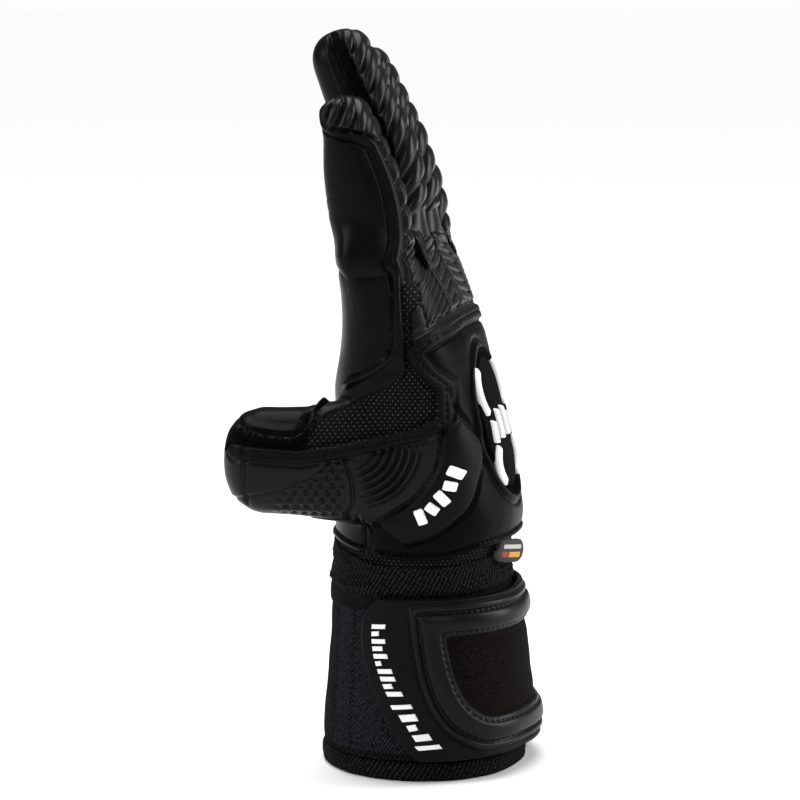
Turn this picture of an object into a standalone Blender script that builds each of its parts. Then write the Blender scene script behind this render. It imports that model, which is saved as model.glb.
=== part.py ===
"""Right-hand goalkeeper glove, standing on its cuff with the fingers up.

The palm faces -X, the back of the hand +X, the thumb side -Y and the little finger +Y.
Every panel is a closed shell between two offsets of the glove's form.
Angles round the hand run from the back of the hand (0) through the little-finger side (+90);
the thumb side is at -90.
"""

import math

import bmesh
import bpy
from mathutils import Vector

MM = 0.001

# ---------------------------------------------------------------- driving dimensions (mm)
AXIS_OFFSET = (12.45, 6.82)  # puts the origin under the middle of the glove's box
GAP = 0.45  # clearance between neighbouring panels
SEAM = 0.35  # half of the gap at a seam that runs up the hand, degrees

# Form of the lining's outside: height, centre in X, half-thickness, half-width, squareness
FORM_STATIONS = [
    (0, -1.3, 37.2, 40.5, 2.1),
    (14, -1.8, 36.4, 40.0, 2.1),
    (36, -1.5, 35.3, 39.0, 2.1),
    (60, -2.0, 33.2, 37.0, 2.1),
    (72, -2.4, 32.2, 36.5, 2.1),
    (84, -2.0, 31.2, 36.5, 2.1),
    (92, -0.6, 31.0, 38.0, 2.2),
    (101, 0.0, 29.5, 41.0, 2.3),
    (126, -1.4, 27.0, 45.0, 2.4),
    (148, -5.0, 24.0, 45.5, 2.6),
    (165, -6.0, 20.0, 45.5, 2.9),
    (184, -10.0, 16.3, 45.5, 3.4),
    (200, -14.4, 13.2, 45.5, 4.0),
]

HEM_TOP = 7.0
SLEEVE_TOP = 70.6
WRIST, HEM_RISE = 88.0, 5.0  # where the hand panels start, and how far that rises at the back
HAND_TOP = 195.6  # where the hand panels end
PANEL_SIDE_TOP, PANEL_CROWN = 165.0, 9.0  # backhand panel's arched top edge
KNUCKLE_HALF_ANGLE = 71.0
PALM_SEAM_THUMB = [(88, -101), (110, -98), (135, -92), (165, -83), (196, -76)]
PALM_SEAM_LITTLE = [(88, 92), (165, 85), (196, 78)]

LINING = 1.5
SLEEVE_THICK = 1.9
HEM_THICK = 2.3
BANDAGE_THICK = 1.7
PANEL_INNER, PANEL_THICK = 1.6, 2.4  # hand panels, measured from the lining's outside
OUTSIDE = PANEL_INNER + PANEL_THICK
FINGER_WALL = 3.6

STRAP_BOTTOM, STRAP_TOP = 8.6, 70.4
PATCH_INNER, PATCH_THICK = 2.8, 0.7  # loop patch sewn to the sleeve
HOOK_INNER, HOOK_THICK = 3.9, 0.5  # hook patch under the strap's tab
STRAP_INNER, STRAP_THICK = 4.8, 1.9
RIM_HEIGHT, RIM_ROOT = 1.5, 1.0  # the strap's moulded rim, and how deep it is rooted
STRAP_HINGE, TAB_HINGE = 60.0, -30.0  # angles round the cuff, degrees
HINGE_SPLIT = 1.0  # half of the gap at a strap hinge, degrees
SEWN_END = 108.0
# Curved free end of the tab: height, angle
TAB_END = [(8.6, -80), (15, -89), (31, -101), (47, -110), (58, -112), (65, -109), (70.4, -101)]
# Both edges of the raised U round the knit window: angle, height
RIM_OUTER = [
    (-31, 10),
    (-50, 10),
    (-61, 13),
    (-72, 26),
    (-79, 40),
    (-85, 56),
    (-86, 64),
    (-82, 69.2),
    (-60, 69.2),
    (-31, 69.2),
]
RIM_INNER = [
    (-31, 23),
    (-45, 23),
    (-52, 26),
    (-57, 31),
    (-61, 38),
    (-65, 47),
    (-66, 53),
    (-63, 57),
    (-50, 57),
    (-31, 57),
]

KNUCKLE_HEIGHT = 202.5  # height of the finger-root hinges
SLEEVE_HALF = 5.0  # half-length of a crumple sleeve at a finger hinge
BEND_HALF = 14.0  # a finger's bend is spread this far either side of its middle hinge
ROOT_SETBACK = 7.5  # hinges lie this far to the palm side of a finger's centre line
MID_SETBACK = 6.0
FINGER_PITCH = 23.8
FINGER_ROOT = (-14.4, 196.2)
FINGER_SEAM_ANGLE = 68.0  # the back pad spans this far either side of the back
# name: (place across the hand in pitches, length to middle hinge, bend there in degrees,
#        length to tip, half-thickness at root, at middle hinge, near tip, half-width)
FINGERS = {
    "index": (-1.5, 25.0, 19, 65.0, 16.2, 13.2, 8.8, 11.5),
    "middle": (-0.5, 37.5, 23, 90.5, 16.2, 14.2, 10.8, 11.5),
    "ring": (0.5, 36.0, 23, 83.0, 16.2, 14.0, 10.6, 11.5),
    "little": (1.5, 24.0, 20, 58.0, 15.4, 12.8, 9.0, 11.0),
}
TIP_LENGTH = 12.5  # the rounded end of a finger
TIP_SQUARENESS = 2.4

# Thumb centre line: X, Y, Z, half-height, half-depth
THUMB_STATIONS = [
    (14, -30, 121, 20, 9),
    (0, -35.5, 121.5, 24, 12.5),
    (-14, -40.5, 122.5, 24.5, 15),
    (-27, -44, 123.0, 22.8, 16),
    (-40, -46, 123.3, 21.4, 16),
    (-52, -47.3, 123.4, 21, 15.8),
    (-68, -48, 123.4, 20.6, 15.4),
]
THUMB_TIP_LENGTH = 15.0
THUMB_WALL = 3.6
THUMB_SEAM_ANGLE = 80.0
THUMB_BASE_X, THUMB_MID_X = -34.0, -49.5
THUMB_SLEEVE_HALF = 3.4
THUMB_HINGE_Z = 139.0  # near the pad side of the thumb, which faces up

BADGE_CENTRE_Z, BADGE_HALF_Y, BADGE_HALF_Z = 133.5, 25.0, 28.5
BADGE_THICK = 1.2
CRESCENT_OUTER = (-1.5, 121.5, 29.0, 46, -76)  # circle's X, Z and radius, then its angles
CRESCENT_INNER = (-12.0, 130.0, 27.0, 20, -56)
CRESCENT_THICK = 1.6
MARK_ARC = (-8.0, 128.0, 29.0)  # circle along the middle of the crescent's raised marks

# ---------------------------------------------------------------- materials
FINISHES = {
    "latex": ((0.020, 0.021, 0.023), 0.42),
    "rubber": ((0.024, 0.024, 0.025), 0.55),
    "knit": ((0.012, 0.012, 0.013), 0.90),
    "mesh": ((0.016, 0.016, 0.017), 0.85),
    "lining": ((0.030, 0.030, 0.032), 0.95),
    "hook_loop": ((0.022, 0.026, 0.032), 0.95),
    "white_print": ((0.85, 0.85, 0.85), 0.45),
    "label": ((0.05, 0.04, 0.035), 0.70),
}


def material(slot):
    """The Principled material of a finish, made once."""
    found = bpy.data.materials.get(slot)
    if found:
        return found
    colour, roughness = FINISHES[slot]
    made = bpy.data.materials.new(slot)
    made.use_nodes = True
    shader = made.node_tree.nodes["Principled BSDF"]
    shader.inputs["Base Color"].default_value = (*colour, 1)
    shader.inputs["Roughness"].default_value = roughness
    shader.inputs["Metallic"].default_value = 0
    return made


# ---------------------------------------------------------------- curves through stations
def between(stations, at):
    """The columns of a table of stations at a value of its first column, on a smooth curve."""
    keys = [row[0] for row in stations]
    if keys[-1] < keys[0]:
        stations = stations[::-1]
        keys = keys[::-1]
    at = min(max(at, keys[0]), keys[-1])
    k = max(i for i in range(len(keys) - 1) if keys[i] <= at)
    span = keys[k + 1] - keys[k]
    t = (at - keys[k]) / span

    def slope(column, i):
        low, high = max(i - 1, 0), min(i + 1, len(stations) - 1)
        return (stations[high][column] - stations[low][column]) / (keys[high] - keys[low]) * span

    return [
        (2 * t**3 - 3 * t**2 + 1) * stations[k][column]
        + (t**3 - 2 * t**2 + t) * slope(column, k)
        + (3 * t**2 - 2 * t**3) * stations[k + 1][column]
        + (t**3 - t**2) * slope(column, k + 1)
        for column in range(1, len(stations[0]))
    ]


def rounded(angle, exponent):
    """A point of the unit superellipse at an angle in degrees."""
    c, s = math.cos(math.radians(angle)), math.sin(math.radians(angle))
    power = 2 / exponent
    return math.copysign(abs(c) ** power, c), math.copysign(abs(s) ** power, s)


def form_point(angle, height, offset=0.0):
    """A point of the hand and cuff form, offset outwards, in mm."""
    centre, half_x, half_y, square = between(FORM_STATIONS, height)
    c, s = rounded(angle, square)
    return Vector((centre + (half_x + offset) * c, (half_y + offset) * s, height))


def inside_form(p, offset):
    centre, half_x, half_y, square = between(FORM_STATIONS, p.z)
    across, along = abs(p.x - centre) / (half_x + offset), abs(p.y) / (half_y + offset)
    return across**square + along**square < 1


def back_point(y, height, offset):
    """The point of the form's back face at a place across the hand."""
    centre, half_x, half_y, square = between(FORM_STATIONS, height)
    share = min(abs(y) / (half_y + offset), 1)
    x = centre + (half_x + offset) * (1 - share**square) ** (1 / square)
    return Vector((x, y, height))


def side_point(x, height, offset):
    """The point of the form's thumb-side face at a place from palm to back."""
    centre, half_x, half_y, square = between(FORM_STATIONS, height)
    share = min(abs(x - centre) / (half_x + offset), 1)
    return Vector((x, -(half_y + offset) * (1 - share**square) ** (1 / square), height))


def value(of, at):
    """A number, or a function of where it is wanted."""
    return of(at) if callable(of) else of


# ---------------------------------------------------------------- making objects
def new_object(name, mesh, slot):
    mesh.materials.append(material(slot))
    made = bpy.data.objects.new(name, mesh)
    bpy.context.scene.collection.objects.link(made)
    made.parent = bpy.data.objects["glove_origin"]
    return made


def finish_mesh(name, bm):
    bmesh.ops.triangulate(bm, faces=bm.faces, quad_method="FIXED")
    mesh = bpy.data.meshes.new(name)
    bm.to_mesh(mesh)
    bm.free()
    mesh.shade_smooth()
    return mesh


def shell(name, slot, point, columns, rows, wrap=False, pole=None):
    """A wall with an outer and an inner face. point(u, v, inner) gives both faces, with u and v
    from 0 to 1. wrap joins the sides; pole(inner) closes the far end."""
    bm = bmesh.new()
    count = columns if wrap else columns + 1
    faces = []
    for inner in (False, True):
        lines = [
            [bm.verts.new(point(i / columns, j / rows, inner) * MM) for i in range(count)]
            for j in range(rows + 1)
        ]
        flip = -1 if inner else 1
        for j in range(rows):
            for i in range(columns):
                k = (i + 1) % count
                ring = (lines[j][i], lines[j][k], lines[j + 1][k], lines[j + 1][i])
                bm.faces.new(ring[::flip])
        tip = bm.verts.new(pole(inner) * MM) if pole else None
        if tip:
            for i in range(columns):
                bm.faces.new((lines[-1][i], lines[-1][(i + 1) % count], tip)[::flip])
        faces.append((lines, tip))
    (outer, outer_tip), (inner, inner_tip) = faces
    for i in range(columns):
        k = (i + 1) % count
        bm.faces.new((outer[0][k], outer[0][i], inner[0][i], inner[0][k]))
        if not pole:
            bm.faces.new((outer[-1][i], outer[-1][k], inner[-1][k], inner[-1][i]))
    if not wrap:
        for j in range(rows):
            bm.faces.new((outer[j][0], outer[j + 1][0], inner[j + 1][0], inner[j][0]))
            bm.faces.new((outer[j + 1][-1], outer[j][-1], inner[j][-1], inner[j + 1][-1]))
        if pole:
            bm.faces.new((outer[-1][0], outer_tip, inner_tip, inner[-1][0]))
            bm.faces.new((outer_tip, outer[-1][-1], inner[-1][-1], inner_tip))
    return new_object(name, finish_mesh(name, bm), slot)


def plug(name, point, columns, rows):
    """A solid cutter: a closed tube with flat ends."""
    bm = bmesh.new()
    lines = [
        [bm.verts.new(point(i / columns, j / rows) * MM) for i in range(columns)]
        for j in range(rows + 1)
    ]
    for j in range(rows):
        for i in range(columns):
            k = (i + 1) % columns
            bm.faces.new((lines[j][i], lines[j][k], lines[j + 1][k], lines[j + 1][i]))
    bm.faces.new(lines[0][::-1])
    bm.faces.new(lines[-1])
    bmesh.ops.recalc_face_normals(bm, faces=bm.faces)
    return as_cutter(new_object(name, finish_mesh(name, bm), "lining"))


def as_cutter(made):
    made.hide_render = True
    made.display_type = "WIRE"
    return made


def combine(made, tool, operation):
    boolean = made.modifiers.new(operation.lower() + " " + tool.name, "BOOLEAN")
    boolean.operation = operation
    boolean.solver = "EXACT"
    boolean.object = tool
    return made


def band(name, slot, angles, heights, inner, thickness, columns, rows):
    """A panel on the form. Its angles may vary with height, and its heights with u."""
    whole = not callable(angles[0]) and not callable(angles[1]) and angles[1] - angles[0] == 360

    def point(u, v, inside):
        bottom, top = value(heights[0], u), value(heights[1], u)
        height = bottom + (top - bottom) * v
        low, high = value(angles[0], height), value(angles[1], height)
        return form_point(low + (high - low) * u, height, inner + (0 if inside else thickness))

    return shell(name, slot, point, columns, rows, whole)


# ---------------------------------------------------------------- cuff
def hand_hem(angle):
    """Height of the hand's lower edge, which rises over the back of the wrist."""
    return WRIST + HEM_RISE * max(math.cos(math.radians(angle)), 0)


def build_cuff():
    ring = (0, 360)
    band("cuff_lining", "lining", ring, (1.5, WRIST - 2.5), -LINING, LINING, 36, 4)
    band("cuff_hem", "knit", ring, (0, HEM_TOP), GAP, HEM_THICK, 36, 1)
    band("cuff_sleeve", "knit", ring, (HEM_TOP + GAP, SLEEVE_TOP), GAP, SLEEVE_THICK, 36, 4)
    bandage = (SLEEVE_TOP + GAP, lambda u: hand_hem(360 * u) - GAP)
    band("wrist_bandage", "knit", ring, bandage, PANEL_INNER, BANDAGE_THICK, 36, 2)
    patch = (PATCH_INNER, PATCH_THICK)
    band("loop_patch", "hook_loop", (-130, -60), (11, 64), *patch, 10, 4)


def tab_end(height):
    """Angle of the strap tab's curved free end at a height."""
    return between(TAB_END, height)[0]


def tab_bar(inset, breadth):
    """A slim bar set in from the tab's free end."""
    return (
        lambda height: tab_end(height) + inset,
        lambda height: tab_end(height) + inset + breadth,
    )


def tab_rim(u, v, inside):
    """A point of the raised U-shaped rim on the tab."""
    place = v * (len(RIM_OUTER) - 1)
    k = min(int(place), len(RIM_OUTER) - 2)
    t = place - k
    outer = [a + (b - a) * t for a, b in zip(RIM_OUTER[k], RIM_OUTER[k + 1])]
    inner = [a + (b - a) * t for a, b in zip(RIM_INNER[k], RIM_INNER[k + 1])]
    angle, height = (a + (b - a) * u for a, b in zip(outer, inner))
    top = STRAP_INNER + STRAP_THICK
    return form_point(angle, height, top + (-RIM_ROOT if inside else RIM_HEIGHT))


def build_strap():
    heights = (STRAP_BOTTOM, STRAP_TOP)
    strap = (STRAP_INNER, STRAP_THICK)
    top = STRAP_INNER + STRAP_THICK
    foot = (PATCH_INNER, top - PATCH_INNER)
    sewn = (STRAP_HINGE + HINGE_SPLIT, SEWN_END)
    band("strap_sewn_end", "rubber", sewn, heights, *foot, 7, 4)
    middle = (TAB_HINGE + HINGE_SPLIT, STRAP_HINGE - HINGE_SPLIT)
    strap_band = band("strap_band", "rubber", middle, heights, *strap, 12, 4)
    tab = (tab_end, TAB_HINGE - HINGE_SPLIT)
    strap_tab = band("strap_tab", "rubber", tab, heights, *strap, 10, 8)

    window_end = STRAP_HINGE - 12
    window_span = (TAB_HINGE + HINGE_SPLIT, window_end)
    rim = (top - RIM_ROOT, RIM_ROOT + RIM_HEIGHT)
    for edge, span in (("upper", (57, 69.2)), ("lower", (10, 23))):
        raised = band(f"rim_{edge}", "rubber", (-27.5, window_end), span, *rim, 11, 1)
        combine(strap_band, as_cutter(raised), "UNION")
    raised = shell("rim_tab", "rubber", tab_rim, 2, len(RIM_OUTER) * 2 - 2)
    combine(strap_tab, as_cutter(raised), "UNION")

    window = (24, 56)
    knit = (top + GAP, 0.7)
    band("strap_window_back", "knit", window_span, window, *knit, 10, 2)
    left = (lambda height: between([(23, -43), (31, -54), (40, -60), (57, -63)], height)[0],)
    band("strap_window_tab", "knit", (*left, TAB_HINGE - HINGE_SPLIT), window, *knit, 5, 4)
    print_inner = (top + GAP, 0.4)
    band("tab_mark_block", "white_print", tab_bar(5, 14), (13.5, 29), *print_inner, 2, 2)
    band("tab_mark_stripe", "white_print", tab_bar(8, 7.5), (32, 60), *print_inner, 1, 3)
    hook = (-88, TAB_HINGE - 4)
    band("strap_hook_patch", "hook_loop", hook, (16, 64), HOOK_INNER, HOOK_THICK, 8, 4)


# ---------------------------------------------------------------- thumb
def thumb_point(angle, x, inset=0.0):
    """A point of the thumb. Angle 0 is up, 90 is +Y and -90 is the outer side."""
    y, z, half_height, half_depth = between(THUMB_STATIONS, x)
    tip = THUMB_STATIONS[-1][0] + inset
    length = THUMB_TIP_LENGTH - inset
    rounding = min(max((length - (x - tip)) / length, 0), 1)
    scale = math.sqrt(1 - rounding**2)
    c, s = rounded(angle, 2.2)
    return Vector((x, y + (half_depth - inset) * scale * s, z + (half_height - inset) * scale * c))


def thumb_start(angle, inset, offset):
    """Where the thumb's surface leaves the hand, along X."""
    outside, inside = THUMB_BASE_X + THUMB_SLEEVE_HALF, THUMB_STATIONS[0][0]
    if not inside_form(thumb_point(angle, inside, inset), offset):
        return inside
    for _ in range(24):
        middle = (outside + inside) / 2
        if inside_form(thumb_point(angle, middle, inset), offset):
            inside = middle
        else:
            outside = middle
    return outside


def thumb_tube(name, slot, angles, start, end, columns, rows, shift=0.0, tip=False):
    """Part of the thumb's wall between two angles and two places along X. A start of None
    follows the outside of the hand; shift moves it up or down to leave a seam."""
    low, high = angles
    whole = high - low == 360
    move = Vector((0, 0, shift))

    def point(u, v, inside):
        inset = THUMB_WALL if inside else 0
        angle = low + (high - low) * u
        first, last = start, end
        if first is None:
            first = thumb_start(angle, inset, OUTSIDE + GAP)
        if tip:
            last = end + inset
            v = math.sin(v * math.pi / 2 * rows / (rows + 1))
        return thumb_point(angle, first + (last - first) * v, inset) + move

    def pole(inside):
        x = end + (THUMB_WALL if inside else 0)
        return Vector((x, *between(THUMB_STATIONS, x)[:2])) + move

    return shell(name, slot, point, columns, rows, whole, pole if tip else None)


def build_thumb():
    base, middle, half = THUMB_BASE_X, THUMB_MID_X, THUMB_SLEEVE_HALF
    seam = THUMB_SEAM_ANGLE
    top = ((-seam, seam), GAP / 2, 10)
    under = ((seam, 360 - seam), -GAP / 2, 12)
    sections = (
        ("thumb_web_gusset", "mesh", top, None, base + half + GAP, 5),
        ("thumb_root_panel", "rubber", under, None, base + half + GAP, 5),
        ("thumb_pad_latex_base", "latex", top, base - half - GAP, middle + half + GAP, 2),
        ("thumb_back_panel_base", "rubber", under, base - half - GAP, middle + half + GAP, 2),
    )
    for name, slot, (angles, shift, columns), start, end, rows in sections:
        thumb_tube(name, slot, angles, start, end, columns, rows, shift)
    ring = (0, 360)
    thumb_tube("thumb_base_sleeve", "latex", ring, base + half, base - half, 20, 2)
    thumb_tube("thumb_middle_sleeve", "latex", ring, middle + half, middle - half, 20, 2)
    tip = (middle - half - GAP, THUMB_STATIONS[-1][0])
    for name, slot, (angles, shift, columns) in (
        ("thumb_pad_latex_tip", "latex", top),
        ("thumb_back_panel_tip", "rubber", under),
    ):
        thumb_tube(name, slot, angles, *tip, columns, 4, shift, tip=True)


# ---------------------------------------------------------------- hand
def panel_edge(angle):
    """Height of the arched seam between the backhand panel and the knuckle panel."""
    return PANEL_SIDE_TOP + PANEL_CROWN * (1 - min(abs(angle) / 82, 1) ** 1.6)


def build_hand():
    def cavity_point(u, v):
        return thumb_point(360 * u, 6 - 44 * v, THUMB_WALL + 0.8)

    cavity = plug("thumb_cavity", cavity_point, 20, 6)

    def thumb_side(height):
        return between(PALM_SEAM_THUMB, height)[0]

    def little_side(height):
        return between(PALM_SEAM_LITTLE, height)[0]

    panel = (PANEL_INNER, PANEL_THICK)
    lining_heights = (WRIST - 2, HAND_TOP)
    lining = band("hand_lining", "lining", (0, 360), lining_heights, -LINING, LINING, 44, 9)
    combine(lining, cavity, "DIFFERENCE")
    angles = (lambda z: little_side(z) + SEAM, lambda z: 360 + thumb_side(z) - SEAM)
    palm = band("palm_latex", "latex", angles, (WRIST, HAND_TOP), *panel, 24, 9)
    combine(palm, cavity, "DIFFERENCE")
    angles = (lambda z: thumb_side(z) + SEAM, lambda z: little_side(z) - SEAM)
    heights = (lambda u: hand_hem(190 * u - 100), lambda u: panel_edge(-83 + 168 * u) - GAP)
    back = band("backhand_panel", "latex", angles, heights, *panel, 22, 8)
    combine(back, cavity, "DIFFERENCE")
    half = KNUCKLE_HALF_ANGLE
    heights = (lambda u: panel_edge(half * (2 * u - 1)) + GAP, HAND_TOP)
    band("knuckle_panel", "rubber", (-half, half), heights, *panel, 18, 3)
    heights = (PANEL_SIDE_TOP + 2.2, HAND_TOP)
    thin = (PANEL_INNER, 1.6)
    angles = (lambda z: thumb_side(z) + SEAM, -half - SEAM * 2)
    band("index_side_mesh", "mesh", angles, heights, *thin, 2, 3)
    angles = (half + SEAM * 2, lambda z: little_side(z) - SEAM)
    band("little_side_mesh", "mesh", angles, heights, *thin, 2, 3)


def oval_plate(name, slot, centre, halves, inner, thickness, turn=0, steps=(24, 3)):
    """A plate with an oval outline on the back of the hand."""
    around, rings = steps
    tilt = math.radians(turn)

    def place(y, z, inside):
        y, z = y * math.cos(tilt) - z * math.sin(tilt), y * math.sin(tilt) + z * math.cos(tilt)
        return back_point(centre[0] + y, centre[1] + z, inner + (0 if inside else thickness))

    def point(u, v, inside):
        a = 2 * math.pi * u
        r = 1 - v * rings / (rings + 1)
        return place(halves[0] * r * math.cos(a), halves[1] * r * math.sin(a), inside)

    return shell(name, slot, point, around, rings, True, lambda inside: place(0, 0, inside))


def on_circle(arc, angle, radius=None):
    a = math.radians(angle)
    r = arc[2] if radius is None else radius
    return arc[0] + r * math.cos(a), arc[1] + r * math.sin(a)


def build_back_trim():
    outer = OUTSIDE + GAP
    halves = (BADGE_HALF_Y, BADGE_HALF_Z)
    oval_plate("badge_plate", "rubber", (0, BADGE_CENTRE_Z), halves, outer, BADGE_THICK)
    for name, z, length in (
        ("badge_bar_upper", 149, 14),
        ("badge_bar_middle", 133.5, 18),
        ("badge_bar_lower", 118, 14),
    ):
        inner = outer + BADGE_THICK + GAP
        bar = (length, 3.4)
        oval_plate(name, "white_print", (0, z), bar, inner, 0.8, 24, (14, 1))

    def crescent(u, v, inside):
        """A crescent round the thumb root, wide in the middle and narrow at its ends."""
        edges = []
        for arc in (CRESCENT_OUTER, CRESCENT_INNER):
            edges.append(Vector(on_circle(arc, arc[3] + (arc[4] - arc[3]) * v)))
        x, height = edges[0].lerp(edges[1], u)
        return side_point(x, height, outer + (0 if inside else CRESCENT_THICK))

    shell("crescent_pad", "latex", crescent, 5, 12)
    for k in range(3):
        first = -17 - 17 * k

        def mark(u, v, inside, first=first):
            radius = MARK_ARC[2] + 2.8 * (1 - 2 * u)
            x, height = on_circle(MARK_ARC, first - 12 * v, radius)
            return side_point(x, height, outer + CRESCENT_THICK + (GAP if inside else 1.0))

        shell(f"crescent_mark_{k + 1}", "white_print", mark, 2, 2)

    def tab(u, v, inside):
        height = 82.0 + 9.5 * v
        lift = OUTSIDE + 0.6 + 2.2 * u
        edge = form_point(-38 + 28 * u, 88, lift + (0 if inside else 1.0))
        return Vector((edge.x, edge.y, height))

    shell("label_tab", "label", tab, 3, 1)


# ---------------------------------------------------------------- fingers
def finger_line(name, length):
    """Centre line of a finger at a length from its root, and its tilt from upright."""
    place, to_bend, bend = FINGERS[name][:3]
    here = Vector((FINGER_ROOT[0], place * FINGER_PITCH, FINGER_ROOT[1]))
    steps = 48
    step = length / steps
    tilt = 0.0
    for k in range(steps + 1):
        t = min(max((k * step - to_bend + BEND_HALF) / (2 * BEND_HALF), 0), 1)
        tilt = math.radians(bend) * t * t * (3 - 2 * t)
        share = 0.5 if k in (0, steps) else 1.0
        here += Vector((-math.sin(tilt), 0, math.cos(tilt))) * step * share
    return here, tilt


def finger_point(name, angle, length, inset=0.0):
    """A point of a finger's surface. Angle 0 is its back, 180 its palm side."""
    to_bend, _, full, root_half, middle_half, tip_half, half_width = FINGERS[name][1:]
    stations = [(0, root_half), (to_bend, middle_half), (full, tip_half)]
    thick = between(stations, length)[0]
    rounded_length = TIP_LENGTH - inset
    rounding = (length - (full - TIP_LENGTH)) / rounded_length
    rounding = min(max(rounding, 0), 1)
    scale = (1 - rounding**TIP_SQUARENESS) ** (1 / TIP_SQUARENESS)
    centre, tilt = finger_line(name, length)
    c, s = rounded(angle, 2.35)
    back = Vector((math.cos(tilt), 0, math.sin(tilt)))
    across = Vector((0, (half_width - inset) * scale * s, 0))
    return centre + back * (thick - inset) * scale * c + across


def finger_tube(name, node, slot, angles, start, end, columns, rows, shift=0.0, tip=False):
    low, high = angles

    def moved(p, length):
        tilt = finger_line(name, length)[1]
        return p + Vector((math.cos(tilt), 0, math.sin(tilt))) * shift

    def point(u, v, inside):
        inset = FINGER_WALL if inside else 0
        last = end
        if tip:
            last = end - inset
            v = math.sin(v * math.pi / 2 * rows / (rows + 1))
        length = start + (last - start) * v
        return moved(finger_point(name, low + (high - low) * u, length, inset), length)

    def pole(inside):
        length = end - (FINGER_WALL if inside else 0)
        return moved(finger_line(name, length)[0], length)

    return shell(node, slot, point, columns, rows, high - low == 360, pole if tip else None)


def build_finger(name):
    full = FINGERS[name][3]
    knuckle = KNUCKLE_HEIGHT - FINGER_ROOT[1]
    middle = FINGERS[name][1]
    half = SLEEVE_HALF
    seam = FINGER_SEAM_ANGLE
    ring = (0, 360)
    base = (knuckle + half + GAP, middle - half - GAP)
    tip = (middle + half + GAP, full)
    root_sleeve = (knuckle - half, knuckle + half)
    middle_sleeve = (middle - half, middle + half)
    finger_tube(name, f"{name}_root_sleeve", "latex", ring, *root_sleeve, 18, 2)
    finger_tube(name, f"{name}_middle_sleeve", "latex", ring, *middle_sleeve, 18, 2)
    for part, slot, angles, columns, shift in (
        ("palm_latex", "latex", (seam, 360 - seam), 12, -GAP / 2),
        ("back_pad", "rubber", (-seam, seam), 8, GAP / 2),
    ):
        made = (name, f"{name}_{part}_base", slot, angles)
        finger_tube(*made, *base, columns, 1, shift)
        made = (name, f"{name}_{part}_tip", slot, angles)
        finger_tube(*made, *tip, columns, 6, shift, tip=True)


# ---------------------------------------------------------------- joints
def strap_pivot(angle):
    """A point on a strap hinge, at the height of the rim's top."""
    middle = (STRAP_BOTTOM + STRAP_TOP) / 2
    return form_point(angle, middle, STRAP_INNER + STRAP_THICK + RIM_HEIGHT)


def finger_pivot(name, length, setback):
    centre, tilt = finger_line(name, length)
    return centre - Vector((math.cos(tilt), 0, math.sin(tilt))) * setback


def thumb_pivot(x):
    return Vector((x, between(THUMB_STATIONS, x)[0], THUMB_HINGE_Z))


def pivots():
    """Every moving body: its parent body, a point on its joint's axis, and its pieces' names."""
    moving = {
        "strap_middle": ("hand", strap_pivot(STRAP_HINGE), ("strap_band", "strap_window_back")),
        "strap_free_end": (
            "strap_middle",
            strap_pivot(TAB_HINGE),
            ("strap_tab", "strap_window_tab", "strap_hook_patch", "tab_mark_"),
        ),
        "thumb_lower": (
            "hand",
            thumb_pivot(THUMB_BASE_X),
            ("thumb_pad_latex_base", "thumb_back_panel_base", "thumb_middle_sleeve"),
        ),
        "thumb_upper": (
            "thumb_lower",
            thumb_pivot(THUMB_MID_X),
            ("thumb_pad_latex_tip", "thumb_back_panel_tip"),
        ),
    }
    for name in FINGERS:
        base = (f"{name}_palm_latex_base", f"{name}_back_pad_base", f"{name}_middle_sleeve")
        root = finger_pivot(name, KNUCKLE_HEIGHT - FINGER_ROOT[1], ROOT_SETBACK)
        moving[f"{name}_lower"] = ("hand", root, base)
        tip = (f"{name}_palm_latex_tip", f"{name}_back_pad_tip")
        middle = finger_pivot(name, FINGERS[name][1], MID_SETBACK)
        moving[f"{name}_upper"] = (f"{name}_lower", middle, tip)
    return moving


def hang_on_joints():
    """Parents each moving piece to an empty on its joint's axis, without moving the piece."""
    places = {"hand": Vector()}
    empties = {"hand": bpy.data.objects["glove_origin"]}
    for body, (parent, place, pieces) in pivots().items():
        empty = bpy.data.objects.new(f"{body}_joint", None)
        empty.parent = empties[parent]
        empty.location = (place - places[parent]) * MM
        bpy.context.scene.collection.objects.link(empty)
        places[body], empties[body] = place, empty
        for made in bpy.data.objects:
            if made.type == "MESH" and made.name.startswith(pieces):
                made.parent = empty
                made.location = -place * MM


# ---------------------------------------------------------------- build
def clear_scene():
    for found in list(bpy.data.objects):
        bpy.data.objects.remove(found)


def main():
    clear_scene()
    origin = bpy.data.objects.new("glove_origin", None)
    origin.location = (AXIS_OFFSET[0] * MM, AXIS_OFFSET[1] * MM, 0)
    bpy.context.scene.collection.objects.link(origin)
    build_cuff()
    build_strap()
    build_hand()
    build_thumb()
    build_back_trim()
    for name in FINGERS:
        build_finger(name)
    hang_on_joints()


main()
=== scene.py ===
import math

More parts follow.
